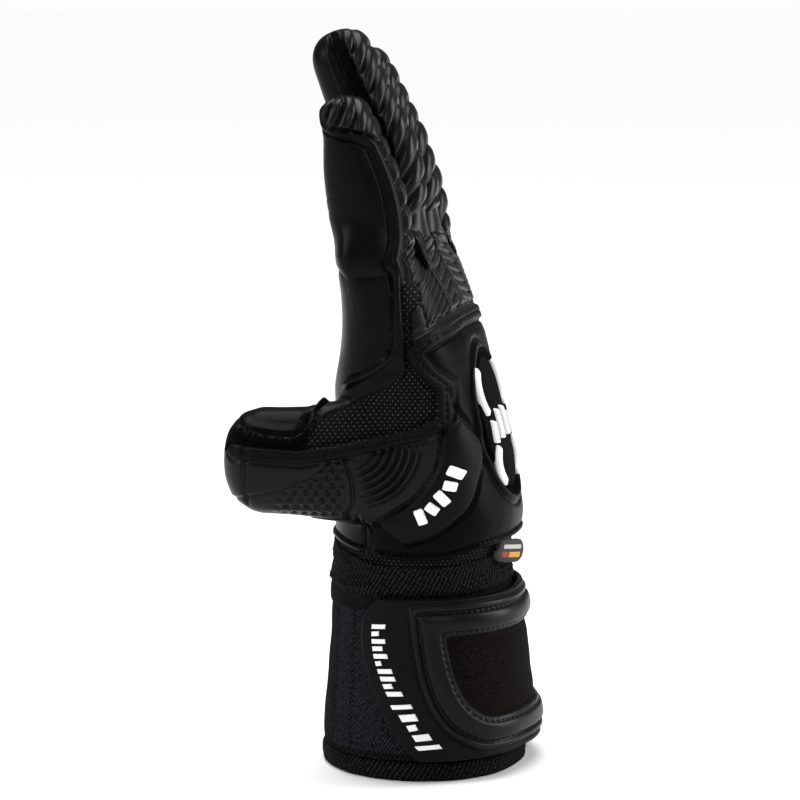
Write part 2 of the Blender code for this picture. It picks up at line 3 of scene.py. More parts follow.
import bpy
import numpy as np
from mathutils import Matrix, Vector

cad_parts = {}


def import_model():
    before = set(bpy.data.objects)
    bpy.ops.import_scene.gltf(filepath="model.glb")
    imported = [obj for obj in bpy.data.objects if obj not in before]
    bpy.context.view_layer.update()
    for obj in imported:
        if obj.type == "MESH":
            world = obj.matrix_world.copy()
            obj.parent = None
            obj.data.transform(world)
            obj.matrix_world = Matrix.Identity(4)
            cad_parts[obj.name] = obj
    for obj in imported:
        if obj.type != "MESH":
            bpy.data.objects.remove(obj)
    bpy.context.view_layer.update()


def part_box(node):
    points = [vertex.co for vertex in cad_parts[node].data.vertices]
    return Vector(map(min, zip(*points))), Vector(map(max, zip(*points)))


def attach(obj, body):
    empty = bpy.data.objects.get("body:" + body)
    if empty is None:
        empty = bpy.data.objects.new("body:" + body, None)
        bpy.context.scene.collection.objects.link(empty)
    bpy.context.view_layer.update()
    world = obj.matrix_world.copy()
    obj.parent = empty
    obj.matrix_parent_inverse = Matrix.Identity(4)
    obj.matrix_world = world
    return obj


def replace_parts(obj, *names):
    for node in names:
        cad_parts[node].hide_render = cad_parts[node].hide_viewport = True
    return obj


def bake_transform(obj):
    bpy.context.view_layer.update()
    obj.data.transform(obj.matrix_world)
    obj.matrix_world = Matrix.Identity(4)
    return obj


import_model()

# The looks of a right-hand goalkeeper glove. Lengths are millimetres in the glove's own axes:
# the cuff's axis is the origin, the palm faces -X and the thumb side is -Y. Angles round the
# hand run from the back (0) to the little-finger side (+90); the thumb side is -90.

MM = 0.001

# ---------------------------------------------------------------- the frame's form
# Form of the lining's outside: height, centre in X, half-thickness, half-width, squareness
FORM_STATIONS = [
    (0, -1.3, 37.2, 40.5, 2.1),
    (14, -1.8, 36.4, 40.0, 2.1),
    (36, -1.5, 35.3, 39.0, 2.1),
    (60, -2.0, 33.2, 37.0, 2.1),
    (72, -2.4, 32.2, 36.5, 2.1),
    (84, -2.0, 31.2, 36.5, 2.1),
    (92, -0.6, 31.0, 38.0, 2.2),
    (101, 0.0, 29.5, 41.0, 2.3),
    (126, -1.4, 27.0, 45.0, 2.4),
    (148, -5.0, 24.0, 45.5, 2.6),
    (165, -6.0, 20.0, 45.5, 2.9),
    (184, -10.0, 16.3, 45.5, 3.4),
    (200, -14.4, 13.2, 45.5, 4.0),
]
OUTSIDE = 4.0  # the hand panels' outer face, from the lining's outside
FREE = 99.0  # a distance past every piece of the glove
hem_low, hem_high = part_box("cuff_hem")
hem_x, hem_y = ((low + high) / 2 / MM for low, high in zip(hem_low[:2], hem_high[:2]))
AXIS = np.array([hem_x - FORM_STATIONS[0][1], hem_y, 0.0])  # the cuff's, in the frame

FINGER_PITCH = 23.8
FINGER_ROOT = (-14.4, 196.2)
BEND_HALF = 14.0
# place across the hand in pitches, length to the middle hinge, bend there in degrees,
# length to tip, half-thickness at root, at middle hinge and near the tip, half-width
FINGERS = {
    "index": (-1.5, 25.0, 19, 65.0, 16.2, 13.2, 8.8, 11.5),
    "middle": (-0.5, 37.5, 23, 90.5, 16.2, 14.2, 10.8, 11.5),
    "ring": (0.5, 36.0, 23, 83.0, 16.2, 14.0, 10.6, 11.5),
    "little": (1.5, 24.0, 20, 58.0, 15.4, 12.8, 9.0, 11.0),
}
TIP_LENGTH, TIP_SQUARENESS, FINGER_SQUARENESS = 12.5, 2.4, 2.35
KNUCKLE = 6.3  # length along a finger to its root hinge

# Thumb centre line: X, Y, Z, half-height, half-depth
THUMB_STATIONS = [
    (14, -30, 121, 20, 9),
    (0, -35.5, 121.5, 24, 12.5),
    (-14, -40.5, 122.5, 24.5, 15),
    (-27, -44, 123.0, 22.8, 16),
    (-40, -46, 123.3, 21.4, 16),
    (-52, -47.3, 123.4, 21, 15.8),
    (-68, -48, 123.4, 20.6, 15.4),
]
THUMB_TIP, THUMB_TIP_LENGTH = -68.0, 15.0
THUMB_BASE_X, THUMB_MID_X = -34.0, -49.5
THUMB_SPLIT = (THUMB_BASE_X + THUMB_MID_X) / 2


def between(stations, at):
    """The columns of a table of stations at values of its first column, on a smooth curve."""
    table = np.array(sorted(stations), float)
    keys, values = table[:, 0], table[:, 1:]
    at = np.clip(np.asarray(at, float), keys[0], keys[-1])
    k = np.clip(np.searchsorted(keys, at, "right") - 1, 0, len(keys) - 2)
    low = np.maximum(np.arange(len(keys)) - 1, 0)
    high = np.minimum(np.arange(len(keys)) + 1, len(keys) - 1)
    slope = (values[high] - values[low]) / (keys[high] - keys[low])[:, None]
    span = (keys[k + 1] - keys[k])[..., None]
    t = (at - keys[k])[..., None] / span
    made = (
        (2 * t**3 - 3 * t**2 + 1) * values[k]
        + (t**3 - 2 * t**2 + t) * span * slope[k]
        + (3 * t**2 - 2 * t**3) * values[k + 1]
        + (t**3 - t**2) * span * slope[k + 1]
    )
    return [made[..., i] for i in range(made.shape[-1])]


def rounded(angle, exponent):
    """Points of the unit superellipse at angles in degrees."""
    c, s = np.cos(np.radians(angle)), np.sin(np.radians(angle))
    power = 2 / exponent
    return np.sign(c) * np.abs(c) ** power, np.sign(s) * np.abs(s) ** power


def form_point(angle, height, offset=0.0):
    """Points of the hand and cuff form, offset outwards."""
    angle, height, offset = np.broadcast_arrays(angle, height, offset)
    centre, half_x, half_y, square = between(FORM_STATIONS, height)
    c, s = rounded(angle, square)
    return np.stack((centre + (half_x + offset) * c, (half_y + offset) * s, height), -1)


def form_angle(p):
    """The angle round the hand of points near its form."""
    centre, half_x, half_y, square = between(FORM_STATIONS, p[..., 2])
    across = (p[..., 0] - centre) / half_x
    along = p[..., 1] / half_y
    c = np.sign(across) * np.abs(across) ** (square / 2)
    s = np.sign(along) * np.abs(along) ** (square / 2)
    return np.degrees(np.arctan2(s, c))


def thumb_point(angle, x):
    """Points of the thumb. Angle 0 is up, 90 is +Y and -90 is the outer side."""
    angle, x = np.broadcast_arrays(angle, x)
    y, z, half_height, half_depth = between(THUMB_STATIONS, x)
    rounding = np.clip((THUMB_TIP_LENGTH - (x - THUMB_TIP)) / THUMB_TIP_LENGTH, 0, 1)
    scale = np.sqrt(1 - rounding**2)
    c, s = rounded(angle, 2.2)
    return np.stack((x, y + half_depth * scale * s, z + half_height * scale * c), -1)


# ---------------------------------------------------------------- numbers and curves
def ease(low, high, at):
    """A smooth rise from 0 at low to 1 at high, which may be the smaller of the two."""
    t = np.clip((np.asarray(at, float) - low) / (high - low), 0, 1)
    return t * t * (3 - 2 * t)


def groove(distance, width, depth):
    """A soft channel along a line, from the distance to it."""
    return -depth * np.exp(-((distance / width) ** 2))


def crown(distance, half, height):
    """A rounded ridge of that half-width, from a distance to its middle."""
    return height * np.sqrt(np.clip(1 - (distance / half) ** 2, 0, 1))


def round_off(distance, radius):
    """A quarter circle's rise from 0 at an edge to 1 at a radius from it."""
    return crown(1 - np.clip(distance / radius, 0, 1), 1, 1)


def smooth_curve(points, steps=8):
    """A closer row of points on the smooth curve through a few."""
    points = np.array(points, float)
    ends = np.vstack((2 * points[0] - points[1], points, 2 * points[-1] - points[-2]))
    made = []
    for a, b, c, d in zip(ends, ends[1:], ends[2:], ends[3:]):
        for t in np.arange(steps) / steps:
            made.append(
                0.5 * (2 * b + (c - a) * t + (2 * a - 5 * b + 4 * c - d) * t * t)
                + 0.5 * (3 * b - a - 3 * c + d) * t**3
            )
    return np.vstack((made, points[-1:]))


def to_line(points, u, v):
    """Distance of places (u, v) to a line of points, the distance run along it, and the side:
    positive to the left of its direction."""
    best = np.full(np.shape(u), 1e9)
    along, side = np.zeros(np.shape(u)), np.ones(np.shape(u))
    run = 0.0
    for (u0, v0), (u1, v1) in zip(points, points[1:]):
        du, dv = u1 - u0, v1 - v0
        length = math.hypot(du, dv)
        t = np.clip(((u - u0) * du + (v - v0) * dv) / length**2, 0, 1)
        distance = np.hypot(u - u0 - t * du, v - v0 - t * dv)
        nearer = distance < best
        best = np.where(nearer, distance, best)
        along = np.where(nearer, run + t * length, along)
        turn = np.sign(du * (v - v0) - dv * (u - u0))
        side = np.where(nearer, turn, side)
        run += length
    return best, along, side


def inside(outline, u, v):
    """Whether places (u, v) are inside a closed outline."""
    found = np.zeros(np.shape(u), bool)
    for (u0, v0), (u1, v1) in zip(outline, np.roll(outline, -1, 0)):
        if v0 == v1:
            continue
        crosses = (v0 > v) != (v1 > v)
        found ^= crosses & (u < (u1 - u0) * (v - v0) / (v1 - v0) + u0)
    return found


def waves(seed, places, longest, octaves=3):
    """Soft unevenness, about -1 to 1: a few seeded waves across places (n, 3)."""
    draw = np.random.default_rng(seed)
    total = np.zeros(len(places))
    for octave in range(octaves):
        for _ in range(5):
            way = draw.normal(size=3)
            way *= 2 * math.pi / (longest / 1.9**octave) / np.linalg.norm(way)
            total += np.sin(places @ way + draw.uniform(0, 2 * math.pi)) / 1.8**octave
    return total / 4


# ---------------------------------------------------------------- meshes
def add_object(name, data):
    """A new object in the scene."""
    made = bpy.data.objects.new(name, data)
    bpy.context.scene.collection.objects.link(made)
    return made


def make_mesh(name, points, faces, uv):
    """An object from points in glove millimetres and an array of quads."""
    mesh = bpy.data.meshes.new(name)
    mesh.vertices.add(len(points))
    world = (np.asarray(points) + AXIS) * MM
    mesh.vertices.foreach_set("co", world.astype(np.float32).ravel())
    faces = np.asarray(faces, np.int32)
    mesh.loops.add(faces.size)
    mesh.loops.foreach_set("vertex_index", faces.ravel())
    mesh.polygons.add(len(faces))
    mesh.polygons.foreach_set("loop_start", np.arange(len(faces), dtype=np.int32) * 4)
    layer = mesh.uv_layers.new(name="millimetres")
    layer.data.foreach_set("uv", uv[faces.ravel()].astype(np.float32).ravel())
    mesh.update(calc_edges=True)
    mesh.validate()
    mesh.shade_smooth()
    return add_object(name, mesh)


def grid_faces(rows, columns, wrap=False, first=0):
    """Quads of a grid of points whose rows run upwards and columns to the right, seen from outside."""
    j, i = np.meshgrid(np.arange(rows - 1), np.arange(columns - (not wrap)), indexing="ij")
    k = (i + 1) % columns
    low, high = j * columns, (j + 1) * columns
    return np.stack((low + i, low + k, high + k, high + i), -1).reshape(-1, 4) + first


def slab(name, outer, inner, uv, wrap=False):
    """A closed piece between an outer and an inner grid of points (rows, columns, 3)."""
    rows, columns = outer.shape[:2]
    count = rows * columns
    front = grid_faces(rows, columns, wrap)
    back = grid_faces(rows, columns, wrap, count)[:, ::-1]
    index = np.arange(count).reshape(rows, columns)

    def wall(line):
        if wrap:
            line = np.append(line, line[0])
        a, b = line[:-1], line[1:]
        return np.stack((b, a, a + count, b + count), -1)

    walls = [wall(index[0]), wall(index[-1])[:, ::-1]]
    if not wrap:
        walls += [wall(index[:, 0])[:, ::-1], wall(index[:, -1])]
    points = np.concatenate((outer.reshape(-1, 3), inner.reshape(-1, 3)))
    both = np.concatenate((uv.reshape(-1, 2),) * 2)
    return make_mesh(name, points, np.concatenate((front, back, *walls)), both)


def grid_normals(points):
    """Outward unit normals of a grid of points whose rows are rings."""
    padded = np.concatenate((points[:, -2:], points, points[:, :2]), 1)
    across = np.gradient(padded, axis=1)[:, 2:-2]
    normal = np.cross(across, np.gradient(points, axis=0))
    return normal / np.maximum(np.linalg.norm(normal, axis=-1, keepdims=True), 1e-9)


def quad_normals(points, faces):
    """Unit vertex normals of a mesh of quads."""
    a, b, c, d = (points[faces[:, k]] for k in range(4))
    flat = np.cross(c - a, d - b)
    total = np.zeros_like(points)
    for k in range(4):
        for axis in range(3):
            total[:, axis] += np.bincount(faces[:, k], flat[:, axis], len(points))
    return total / np.maximum(np.linalg.norm(total, axis=1, keepdims=True), 1e-9)


def part_of(name, points, faces, normals, uv, keep):
    """The kept faces of a larger skin, as an object shaded as if still whole."""
    kept = faces[keep]
    used, index = np.unique(kept.ravel(), return_inverse=True)
    made = make_mesh(name, points[used], index.reshape(-1, 4), uv[used])
    made.data.normals_split_custom_set_from_vertices(normals[used].tolist())
    return made


def skin_round(*tubes):
    """Points and quads of one smooth skin round several closed tubes of points."""
    points, faces, first = [], [], 0
    for tube in tubes:
        rows, columns = tube.shape[:2]
        index = first + np.arange(rows * columns).reshape(rows, columns)
        faces += grid_faces(rows, columns, True, first).tolist()
        faces += [index[0][::-1].tolist(), index[-1].tolist()]
        points.append(tube.reshape(-1, 3))
        first += rows * columns
    mesh = bpy.data.meshes.new("skin")
    mesh.from_pydata(np.concatenate(points).tolist(), [], faces)
    made = add_object("skin", mesh)
    remesh = made.modifiers.new("remesh", "REMESH")
    remesh.mode = "VOXEL"
    remesh.voxel_size = SKIN_VOXEL
    points, faces = evaluated(made)
    edges = np.unique(np.sort(np.concatenate((faces[:, :2], faces[:, 1:3])), 1), axis=0)
    for _ in range(SKIN_SMOOTHING):
        points = points + 0.5 * (neighbours_mean(points, edges) - points)
    made.modifiers.clear()
    made.data = bpy.data.meshes.new("skin_fine")
    made.data.from_pydata(points.tolist(), [], faces.tolist())
    made.modifiers.new("fine", "SUBSURF").levels = 1
    points, faces = evaluated(made)
    bpy.data.objects.remove(made)
    return points, faces


def evaluated(made):
    mesh = made.evaluated_get(bpy.context.evaluated_depsgraph_get()).to_mesh()
    points = np.empty(len(mesh.vertices) * 3, np.float32)
    mesh.vertices.foreach_get("co", points)
    faces = np.empty(len(mesh.loops), np.int32)
    mesh.loops.foreach_get("vertex_index", faces)
    return points.reshape(-1, 3).astype(float), faces.reshape(-1, 4)


def neighbours_mean(points, edges):
    both = np.concatenate((edges, edges[:, ::-1]))
    count = np.bincount(both[:, 0], minlength=len(points))[:, None]
    total = [np.bincount(both[:, 0], points[both[:, 1], axis], len(points)) for axis in range(3)]
    return np.stack(total, 1) / np.maximum(count, 1)


# ---------------------------------------------------------------- hand: lines on its thumb side
SKIN_VOXEL = 1.0
SKIN_SMOOTHING = 6
SKIN_BOTTOM = 81.0

# Places on the thumb side are (X, Z)
STRIP_INNER = [(-3.8, 200), (-3.3, 186), (-3.2, 177), (-4.3, 165)]
ROLL_EDGE = [(-4.3, 165), (-11, 159.3), (-20, 154.5), (-29, 149.4), (-35, 143)]
STRIP_OUTER = [(-0.8, 200), (0.2, 182), (2.1, 163), (1.1, 156.5)]
GUSSET_TOP = [(1.1, 156.5), (-13, 148.5), (-27.5, 141.4), (-36, 133)]
SIDE_MESH_RIGHT = [(2.2, 200), (4.6, 192), (6.2, 184), (3.6, 179), (4.2, 166)]
GUSSET_CORNER, GUSSET_SIDE = (4.5, 164.8), [(9.3, 157.5), (14.6, 152.4)]
GUSSET_BOTTOM = [(15.3, 139.3), (6.3, 134.6), (-8, 131.3), (-20, 129), (-36, 126.5)]
BINDING = [(15, 173), (9, 168.5), GUSSET_CORNER, *GUSSET_SIDE, *GUSSET_BOTTOM, (-61, 128)]
CRESCENT_OUTER = [(15.2, 151), (17.2, 145), (21.4, 137.4), (25.3, 131), (26.9, 124)]
CRESCENT_OUTER += [(26.3, 117.5), (23.3, 107), (17.5, 100), (10, 94.5), (1.1, 91.5)]
CRESCENT_INNER = [(14.6, 137), (13.7, 125.3), (10.8, 118), (5.9, 111.6), (-1, 106), (-9, 101)]
PAD_SEAM = [(-63, 137), (-58.5, 135), (-52, 133.6), (-45, 132.8), (-38, 133), (-34, 136)]
PAD_SEAM += [(-31.6, 141), (-29.5, 146)]
FAN_CENTRE = (-17.4, 131.3)
FAN_FIRST, FAN_STEP, FAN_RIDGES = 8.6, 2.75, 6
CHANNEL = [(-19.5, 128), (-17, 116.5), (-17.5, 107), (-21, 100)]
SLANT = [(-23.5, 127), (-32, 119.5), (-45, 113.5), (-63, 109.5)]
FLAP_EDGE = [(-14.5, 101), (-12.2, 94), (-10.6, 85)]
HEEL_EDGE = [(-16.5, 103.5), (-16.2, 95), (-17.5, 84)]
BINDING_HALF = 2.3
PANEL_SIDE_TOP, PANEL_CROWN = 165.0, 9.0
BADGE_Z, BADGE_HALF_Y, BADGE_HALF_Z = 133.5, 25.0, 28.5
STITCH = 2.6  # from the start of one stitch to the next
# Lower edge of the hand: angle, height
HAND_HEM = [(-180, 89), (-150, 89), (-122, 87), (-94, 84.8), (-65, 85), (-42, 88.6)]
HAND_HEM += [(0, 90), (90, 87), (180, 89)]
# Palm edge of the strip on the little-finger side: height, X
LITTLE_SIDE = [(150, -2.0), (165, -4.0), (182, -3.2), (200, -3.8)]
LITTLE_STRIP = 4.8  # the strip's width
WRIST_FLAP_TOP = 101.5
THUMB_BAND_LOW = 127
KNUCKLE_SIDE = 78  # angle from the back where the knuckle side of the hand ends
DENTS_FROM, DENT_ROW, DENT_COLUMN = 103.5, 3.1, 4.0  # pattern on the thumb's lower side


def panel_edge(angle):
    """Height of the arched seam between the backhand and the knuckle panel."""
    return PANEL_SIDE_TOP + PANEL_CROWN * (1 - np.minimum(np.abs(angle) / 82, 1) ** 1.6)


def hand_hem(angle):
    """Height of the hand's lower edge."""
    return between(HAND_HEM, angle)[0]


def stitches(along, distance, depth, width=0.5):
    """A sewn line: short stitches sunk into a faint groove."""
    dash = ease(0.12, 0.3, np.abs((along / STITCH) % 1 - 0.5))
    return groove(distance, width, depth * 0.6) + groove(distance, width * 0.8, depth) * dash


class Hand:
    """Where each point of the hand's skin is on its panels."""

    def __init__(self, points, normals):
        self.x, self.y, self.z = points.T
        self.normals = normals
        self.angle = form_angle(points)
        on_side = ease(0.4, 0.1, normals[:, 1]) * ease(-15, -22, self.y)
        palm_face = ease(0.6, 0.85, -normals[:, 0]) * (self.x > -37)
        self.near = on_side * (1 - palm_face)  # 1 where the skin faces the thumb side
        self.region = np.zeros(len(points), int)
        self.relief = np.zeros(len(points))

    def line(self, points):
        """Distance, run and side of a smooth line on the thumb side."""
        return to_line(smooth_curve(points, 6), self.x, self.z)

    def outlined(self, name, *rows):
        """Marks a panel inside an outline of rows of places on the thumb side."""
        self.mark(name, (self.near > 0.5) & inside(np.vstack(rows), self.x, self.z))

    def side_distance(self):
        """Distance towards the back from the strip's edge on the little-finger side."""
        return self.x - np.interp(self.z, *zip(*LITTLE_SIDE))

    def mark(self, name, where):
        """Gives a panel the points that are there."""
        self.region[where] = list(HAND_PIECES).index(name)

    def is_in(self, *names):
        """Whether each point is on one of those panels."""
        return np.isin(self.region, [list(HAND_PIECES).index(n) for n in names])


def find_regions(hand):
    """Marks every panel of the hand. A later mark lies over an earlier one."""
    x, y, z, angle = hand.x, hand.y, hand.z, hand.angle
    near = hand.near > 0.5
    little = y > 20
    back = (np.abs(angle) < KNUCKLE_SIDE) & (hand.normals[:, 0] > -0.1)
    hand.mark("backhand_skin", back & (z < 200) & (x > -20))
    knuckle = back & (z > panel_edge(angle)) & (np.abs(angle) < 71)
    hand.mark("knuckle_skin", knuckle)
    # little-finger side: strip and mesh like the thumb side's
    side_x = hand.side_distance()
    side = little & (hand.normals[:, 1] > 0.35)
    mesh = (z > 100) & (z > panel_edge(angle) + 2) & (side_x > 4.2) & ~knuckle
    hand.mark("little_side_mesh_skin", side & mesh)
    hand.mark("little_roll_strip", side & (side_x > 0) & (side_x < LITTLE_STRIP) & (z > 104))
    hand.mark("palm_latex_skin", side & (side_x < 0))

    beyond = [(60, 80), (60, 175), (4.5, 165), (9.3, 157.5)]
    outline = np.vstack((smooth_curve(CRESCENT_INNER), smooth_curve(FLAP_EDGE), beyond))
    hand.mark("backhand_skin", near & inside(outline, x, z) & ~knuckle & (y < -20))
    top = [(-70, 128), (-36, 126.5), (-8, 131.3), (15, 139)]
    hand.outlined("thumb_moulded_skin", top, CRESCENT_INNER, FLAP_EDGE[:1], [(-70, 96)])
    hand.outlined("crescent_skin", smooth_curve(CRESCENT_OUTER), smooth_curve(CRESCENT_INNER[::-1]))
    hand.outlined("thumb_gusset_mesh", GUSSET_BOTTOM, GUSSET_TOP[::-1], [GUSSET_CORNER], GUSSET_SIDE)
    hand.outlined("index_side_mesh_skin", STRIP_OUTER, [GUSSET_CORNER], SIDE_MESH_RIGHT[::-1])
    hand.outlined("palm_roll_strip", STRIP_INNER, ROLL_EDGE, GUSSET_TOP[::-1], STRIP_OUTER[::-1])
    # the thumb
    thumb = (x < -34) & (z > 95)
    inner = (x < -12) & (hand.normals[:, 1] > 0.3) & (y < -24) & (z < 140) & (z > 96)
    hand.mark("thumb_moulded_skin", (inner | thumb) & (z < THUMB_BAND_LOW))
    seam_z = np.interp(x, *zip(*PAD_SEAM[:-1]))
    in_band = (z >= THUMB_BAND_LOW) & (z < seam_z + 0.5)
    hand.mark("thumb_side_band", (near & (x < -33) | thumb) & in_band)
    hand.mark("thumb_pad_skin", thumb & (z >= seam_z))
    under = (x < -12) & (hand.normals[:, 2] < -0.5) & (y < -30) & (z > 96)
    hand.mark("thumb_moulded_skin", under)
    # the wrist: the palm's heel and the gap between it and the back's flap
    low = near & (z < WRIST_FLAP_TOP)
    heel = np.interp(z, [84, 95, 103.5], [-17.5, -16.2, -16.5])
    flap_x = np.interp(z, [85, 94, 101], [-10.6, -12.2, -14.5])
    hand.mark("palm_latex_skin", low & (x < heel))
    hand.mark("palm_roll_strip", low & (x >= heel) & (x < flap_x))

    hand.oval = np.hypot(y / BADGE_HALF_Y, (z - BADGE_Z) / BADGE_HALF_Z)
    hand.mark("badge_skin", (hand.oval < 1) & (x > 0) & (hand.normals[:, 0] > 0.2))
    distance = np.where(near, to_line(BINDING, x, z)[0], FREE)
    on_back = (np.abs(angle) < 76) & (x > 4.5) & (z > 160)
    to_arch = np.minimum(distance, np.abs(z - panel_edge(angle)) * 0.95)
    distance = np.where(on_back, to_arch, distance)
    hand.binding = distance
    hand.mark("binding_tape", distance < BINDING_HALF)


def shape_binding(hand):
    d = hand.binding
    along = np.where((hand.near > 0.5), to_line(BINDING, hand.x, hand.z)[1], hand.y)
    hand.relief += 0.95 * ease(BINDING_HALF + 0.4, BINDING_HALF - 0.25, d)
    hand.relief += crown(d, BINDING_HALF, 0.35) + stitches(along, d, 0.55, 0.38)
    hand.relief += groove(d - BINDING_HALF - 0.9, 0.7, 0.6)


def shape_crescent(hand):
    outer, inner = hand.line(CRESCENT_OUTER)[0], hand.line(CRESCENT_INNER)[0]
    here = hand.is_in("crescent_skin")
    share = outer / np.maximum(outer + inner, 1e-6)
    raised = 2.1 * np.sin(math.pi * np.clip(share, 0, 1)) ** 0.45
    raised *= ease(-0.2, 1.6, outer) * ease(-0.2, 1.4, inner)
    hand.relief += np.where(here, raised, 0)
    hand.relief += hand.near * groove(outer, 0.75, 0.95) * (hand.z < 152)
    hand.relief += hand.near * groove(inner, 0.7, 0.8)


def shape_fan(hand):
    """Ridges that fan round the thumb's root."""
    u, v = hand.x - FAN_CENTRE[0], hand.z - FAN_CENTRE[1]
    radius, turn = np.hypot(u, v), np.degrees(np.arctan2(v, u))
    place = (radius - FAN_FIRST) / FAN_STEP
    here = ease(-0.4, 0.1, place) * ease(FAN_RIDGES + 0.4, FAN_RIDGES - 0.1, place)
    fade = ease(-1, -9, turn) * ease(-88, -62, turn)
    ridge = np.abs(np.sin(math.pi * place)) ** 0.8
    moulded = hand.is_in("thumb_moulded_skin") * hand.near
    hand.relief += moulded * here * fade * (1.9 * ridge - 0.95)


def shape_thumb(hand):
    x, z, near = hand.x, hand.z, hand.near
    moulded = hand.is_in("thumb_moulded_skin") * near
    hand.relief += moulded * groove(hand.line(CHANNEL)[0], 0.9, 1.3)
    hand.relief += moulded * groove(hand.line(SLANT)[0], 0.7, 0.7)
    slant_z = np.interp(x, *zip(*SLANT[::-1]))
    low = moulded * (x < -19) * ease(slant_z + 0.3, slant_z - 1.2, z)
    hand.relief -= 0.45 * low
    # rows of dents below the slanting channel
    row = (z - DENTS_FROM) / DENT_ROW
    column = x / DENT_COLUMN + np.floor(row + 0.5) % 2 * 0.5
    across = (column - np.round(column)) * DENT_COLUMN
    up = (row - np.round(row)) * DENT_ROW
    dents = np.exp(-((across / 1.25) ** 2) - (((up - across * 0.25) / 0.85) ** 2))
    field = low * ease(-18.5, -21.5, x) * ease(-52, -40, x) * ease(102, 104, z)
    hand.relief -= 1.2 * dents * field * ease(slant_z - 1.0, slant_z - 3.0, z)
    # latex pad on top, its lumpy seam and the band below it
    seam, along, _ = hand.line(PAD_SEAM)
    on_thumb = near * (x < -29)
    lumps = 0.35 * np.sin(along * 1.9) + 0.3 * np.sin(along * 3.1 + 1)
    ends = ease(-64, -59, x) * ease(-29, -34, x)
    hand.relief += on_thumb * crown(seam - 0.2, 1.4, 0.9 + lumps) * (z > 130) * ends
    hand.relief += on_thumb * groove(seam - 2.0, 0.8, 0.9) * (z > 130) * ends
    saddle = hand.is_in("thumb_pad_skin") * ease(1.5, 7, seam)
    hand.relief -= 1.2 * saddle * ease(-64, -56, x) * ease(-28, -36, x)
    # the band that wraps the thumb's tip
    rim = ease(-56.5, -58, x) * ease(-68.5, -66, x)
    upright = ease(139, 134, z) * ease(105, 109, z)
    hand.relief += (groove(x + 57.2, 0.7, 0.9) * (x < -50) + 0.5 * rim) * upright


def shape_strips(hand):
    x, z, near = hand.x, hand.z, hand.near
    inner, outer = hand.line(STRIP_INNER + ROLL_EDGE[1:])[0], hand.line(STRIP_OUTER)[0]
    strip = hand.is_in("palm_roll_strip") * near
    width = np.maximum(inner + outer, 1e-6)
    roll = np.sqrt(np.clip(4 * inner * outer / width**2, 0, 1))
    hand.relief += strip * ease(158, 164, z) * 1.1 * roll
    hand.relief += near * groove(inner, 0.7, 1.0) * (z > 138)
    hand.relief += near * groove(outer, 0.6, 0.8) * (z > 156)
    roll_edge, _, side = hand.line(ROLL_EDGE)
    hand.relief += near * crown(roll_edge - 1.3, 1.4, 1.5) * (side > 0) * (z > 140) * (x < -3)
    hand.relief += near * groove(hand.line(GUSSET_TOP)[0], 0.6, 0.5)
    mesh = hand.is_in("thumb_gusset_mesh", "index_side_mesh_skin", "little_side_mesh_skin")
    hand.relief -= 0.5 * mesh
    hand.relief += near * groove(hand.line(SIDE_MESH_RIGHT)[0], 0.6, 0.7) * (z > 164)
    # the same on the little-finger side
    strip = hand.is_in("little_roll_strip")
    side_x = hand.side_distance()
    side = (hand.y > 20) * (hand.normals[:, 1] > 0.35) * (z > 104)
    hand.relief += strip * 1.1 * crown(side_x - 2.4, 2.4, 1.0)
    hand.relief += side * (groove(side_x, 0.7, 0.9) + groove(side_x - LITTLE_STRIP, 0.6, 0.7))
    # wrist: the heel's edge, the gap beside it and the flap
    low = near * (z < 104)
    heel, flap = hand.line(HEEL_EDGE)[0], hand.line(FLAP_EDGE)[0]
    hand.relief += low * groove(heel, 0.9, 1.1) + low * groove(flap, 0.6, 0.9)
    gap = hand.is_in("palm_roll_strip") * low
    hand.relief += gap * (crown(heel - 1.6, 1.2, 1.0) - 0.8)


FAN_SHIFT = 0.28  # how far the ridges' columns move sideways for each millimetre down


def knuckle_relief(y, z):
    """Smooth bands between the fingers, and slanting ridges over each finger's knuckle."""
    place = (y + np.minimum(z - 200, 0) * FAN_SHIFT) / FINGER_PITCH + 2
    column = np.clip(np.floor(place), 0, 3)
    turned = (place - column - 0.5) * FINGER_PITCH * np.where(y > 0, -1, 1)
    outer = (column == 0) | (column == 3)
    closing = np.where(column == 0, 1.0, ease(156, 168, z))
    reach = np.where(column == 0, np.clip((200 - z) * FAN_SHIFT, 0, 9), 0)
    near = (np.where(outer, 6.4, 6.6) + reach) * closing
    far = np.where(outer, 10.4, 9.8) * closing
    outside = np.where(turned < 0, -turned - near, turned - far)
    bands = ease(0, 0.7, outside)
    pitch = np.where(outer, 2.1, 3.1)
    bowed = np.where(outer, 0.34 * turned - 0.022 * np.minimum(turned, 0) ** 2, 0.22 * turned)
    phase = (z - bowed) * 0.8 / pitch
    cut = np.abs(phase - np.round(phase)) * pitch
    ridges = 1.0 * ease(0.12, 0.6, cut) - 0.4
    ridged = (1 - bands) * ease(206.5, 204.5, z)
    made = bands * 0.75 + ridged * ridges + groove(outside - 0.2, 0.5, 0.9)
    return made * ease(209, 205.5, z)


def shape_knuckles(hand):
    border = panel_edge(hand.angle)
    plain = ease(border + 5.5, border + 3, hand.z)
    made = knuckle_relief(hand.y, hand.z) * (1 - plain) + 0.5 * plain
    made += groove(hand.z - border - 4.5, 0.5, 0.6)
    hand.relief += np.where(hand.is_in("knuckle_skin"), made, 0)


def shape_badge(hand):
    distance = (hand.oval - 1) * 26  # roughly, in millimetres
    here = (hand.x > 0) * ease(0.1, 0.3, hand.normals[:, 0])
    hand.relief += here * (0.9 * ease(-3.2, -1.8, -np.abs(distance - 0.6) * 1.6))
    hand.relief += here * (groove(distance + 2.4, 0.5, 1.0) + groove(distance - 3.2, 0.9, 0.6))
    hand.relief += here * 1.1 * ease(-2.6, -3.6, distance)


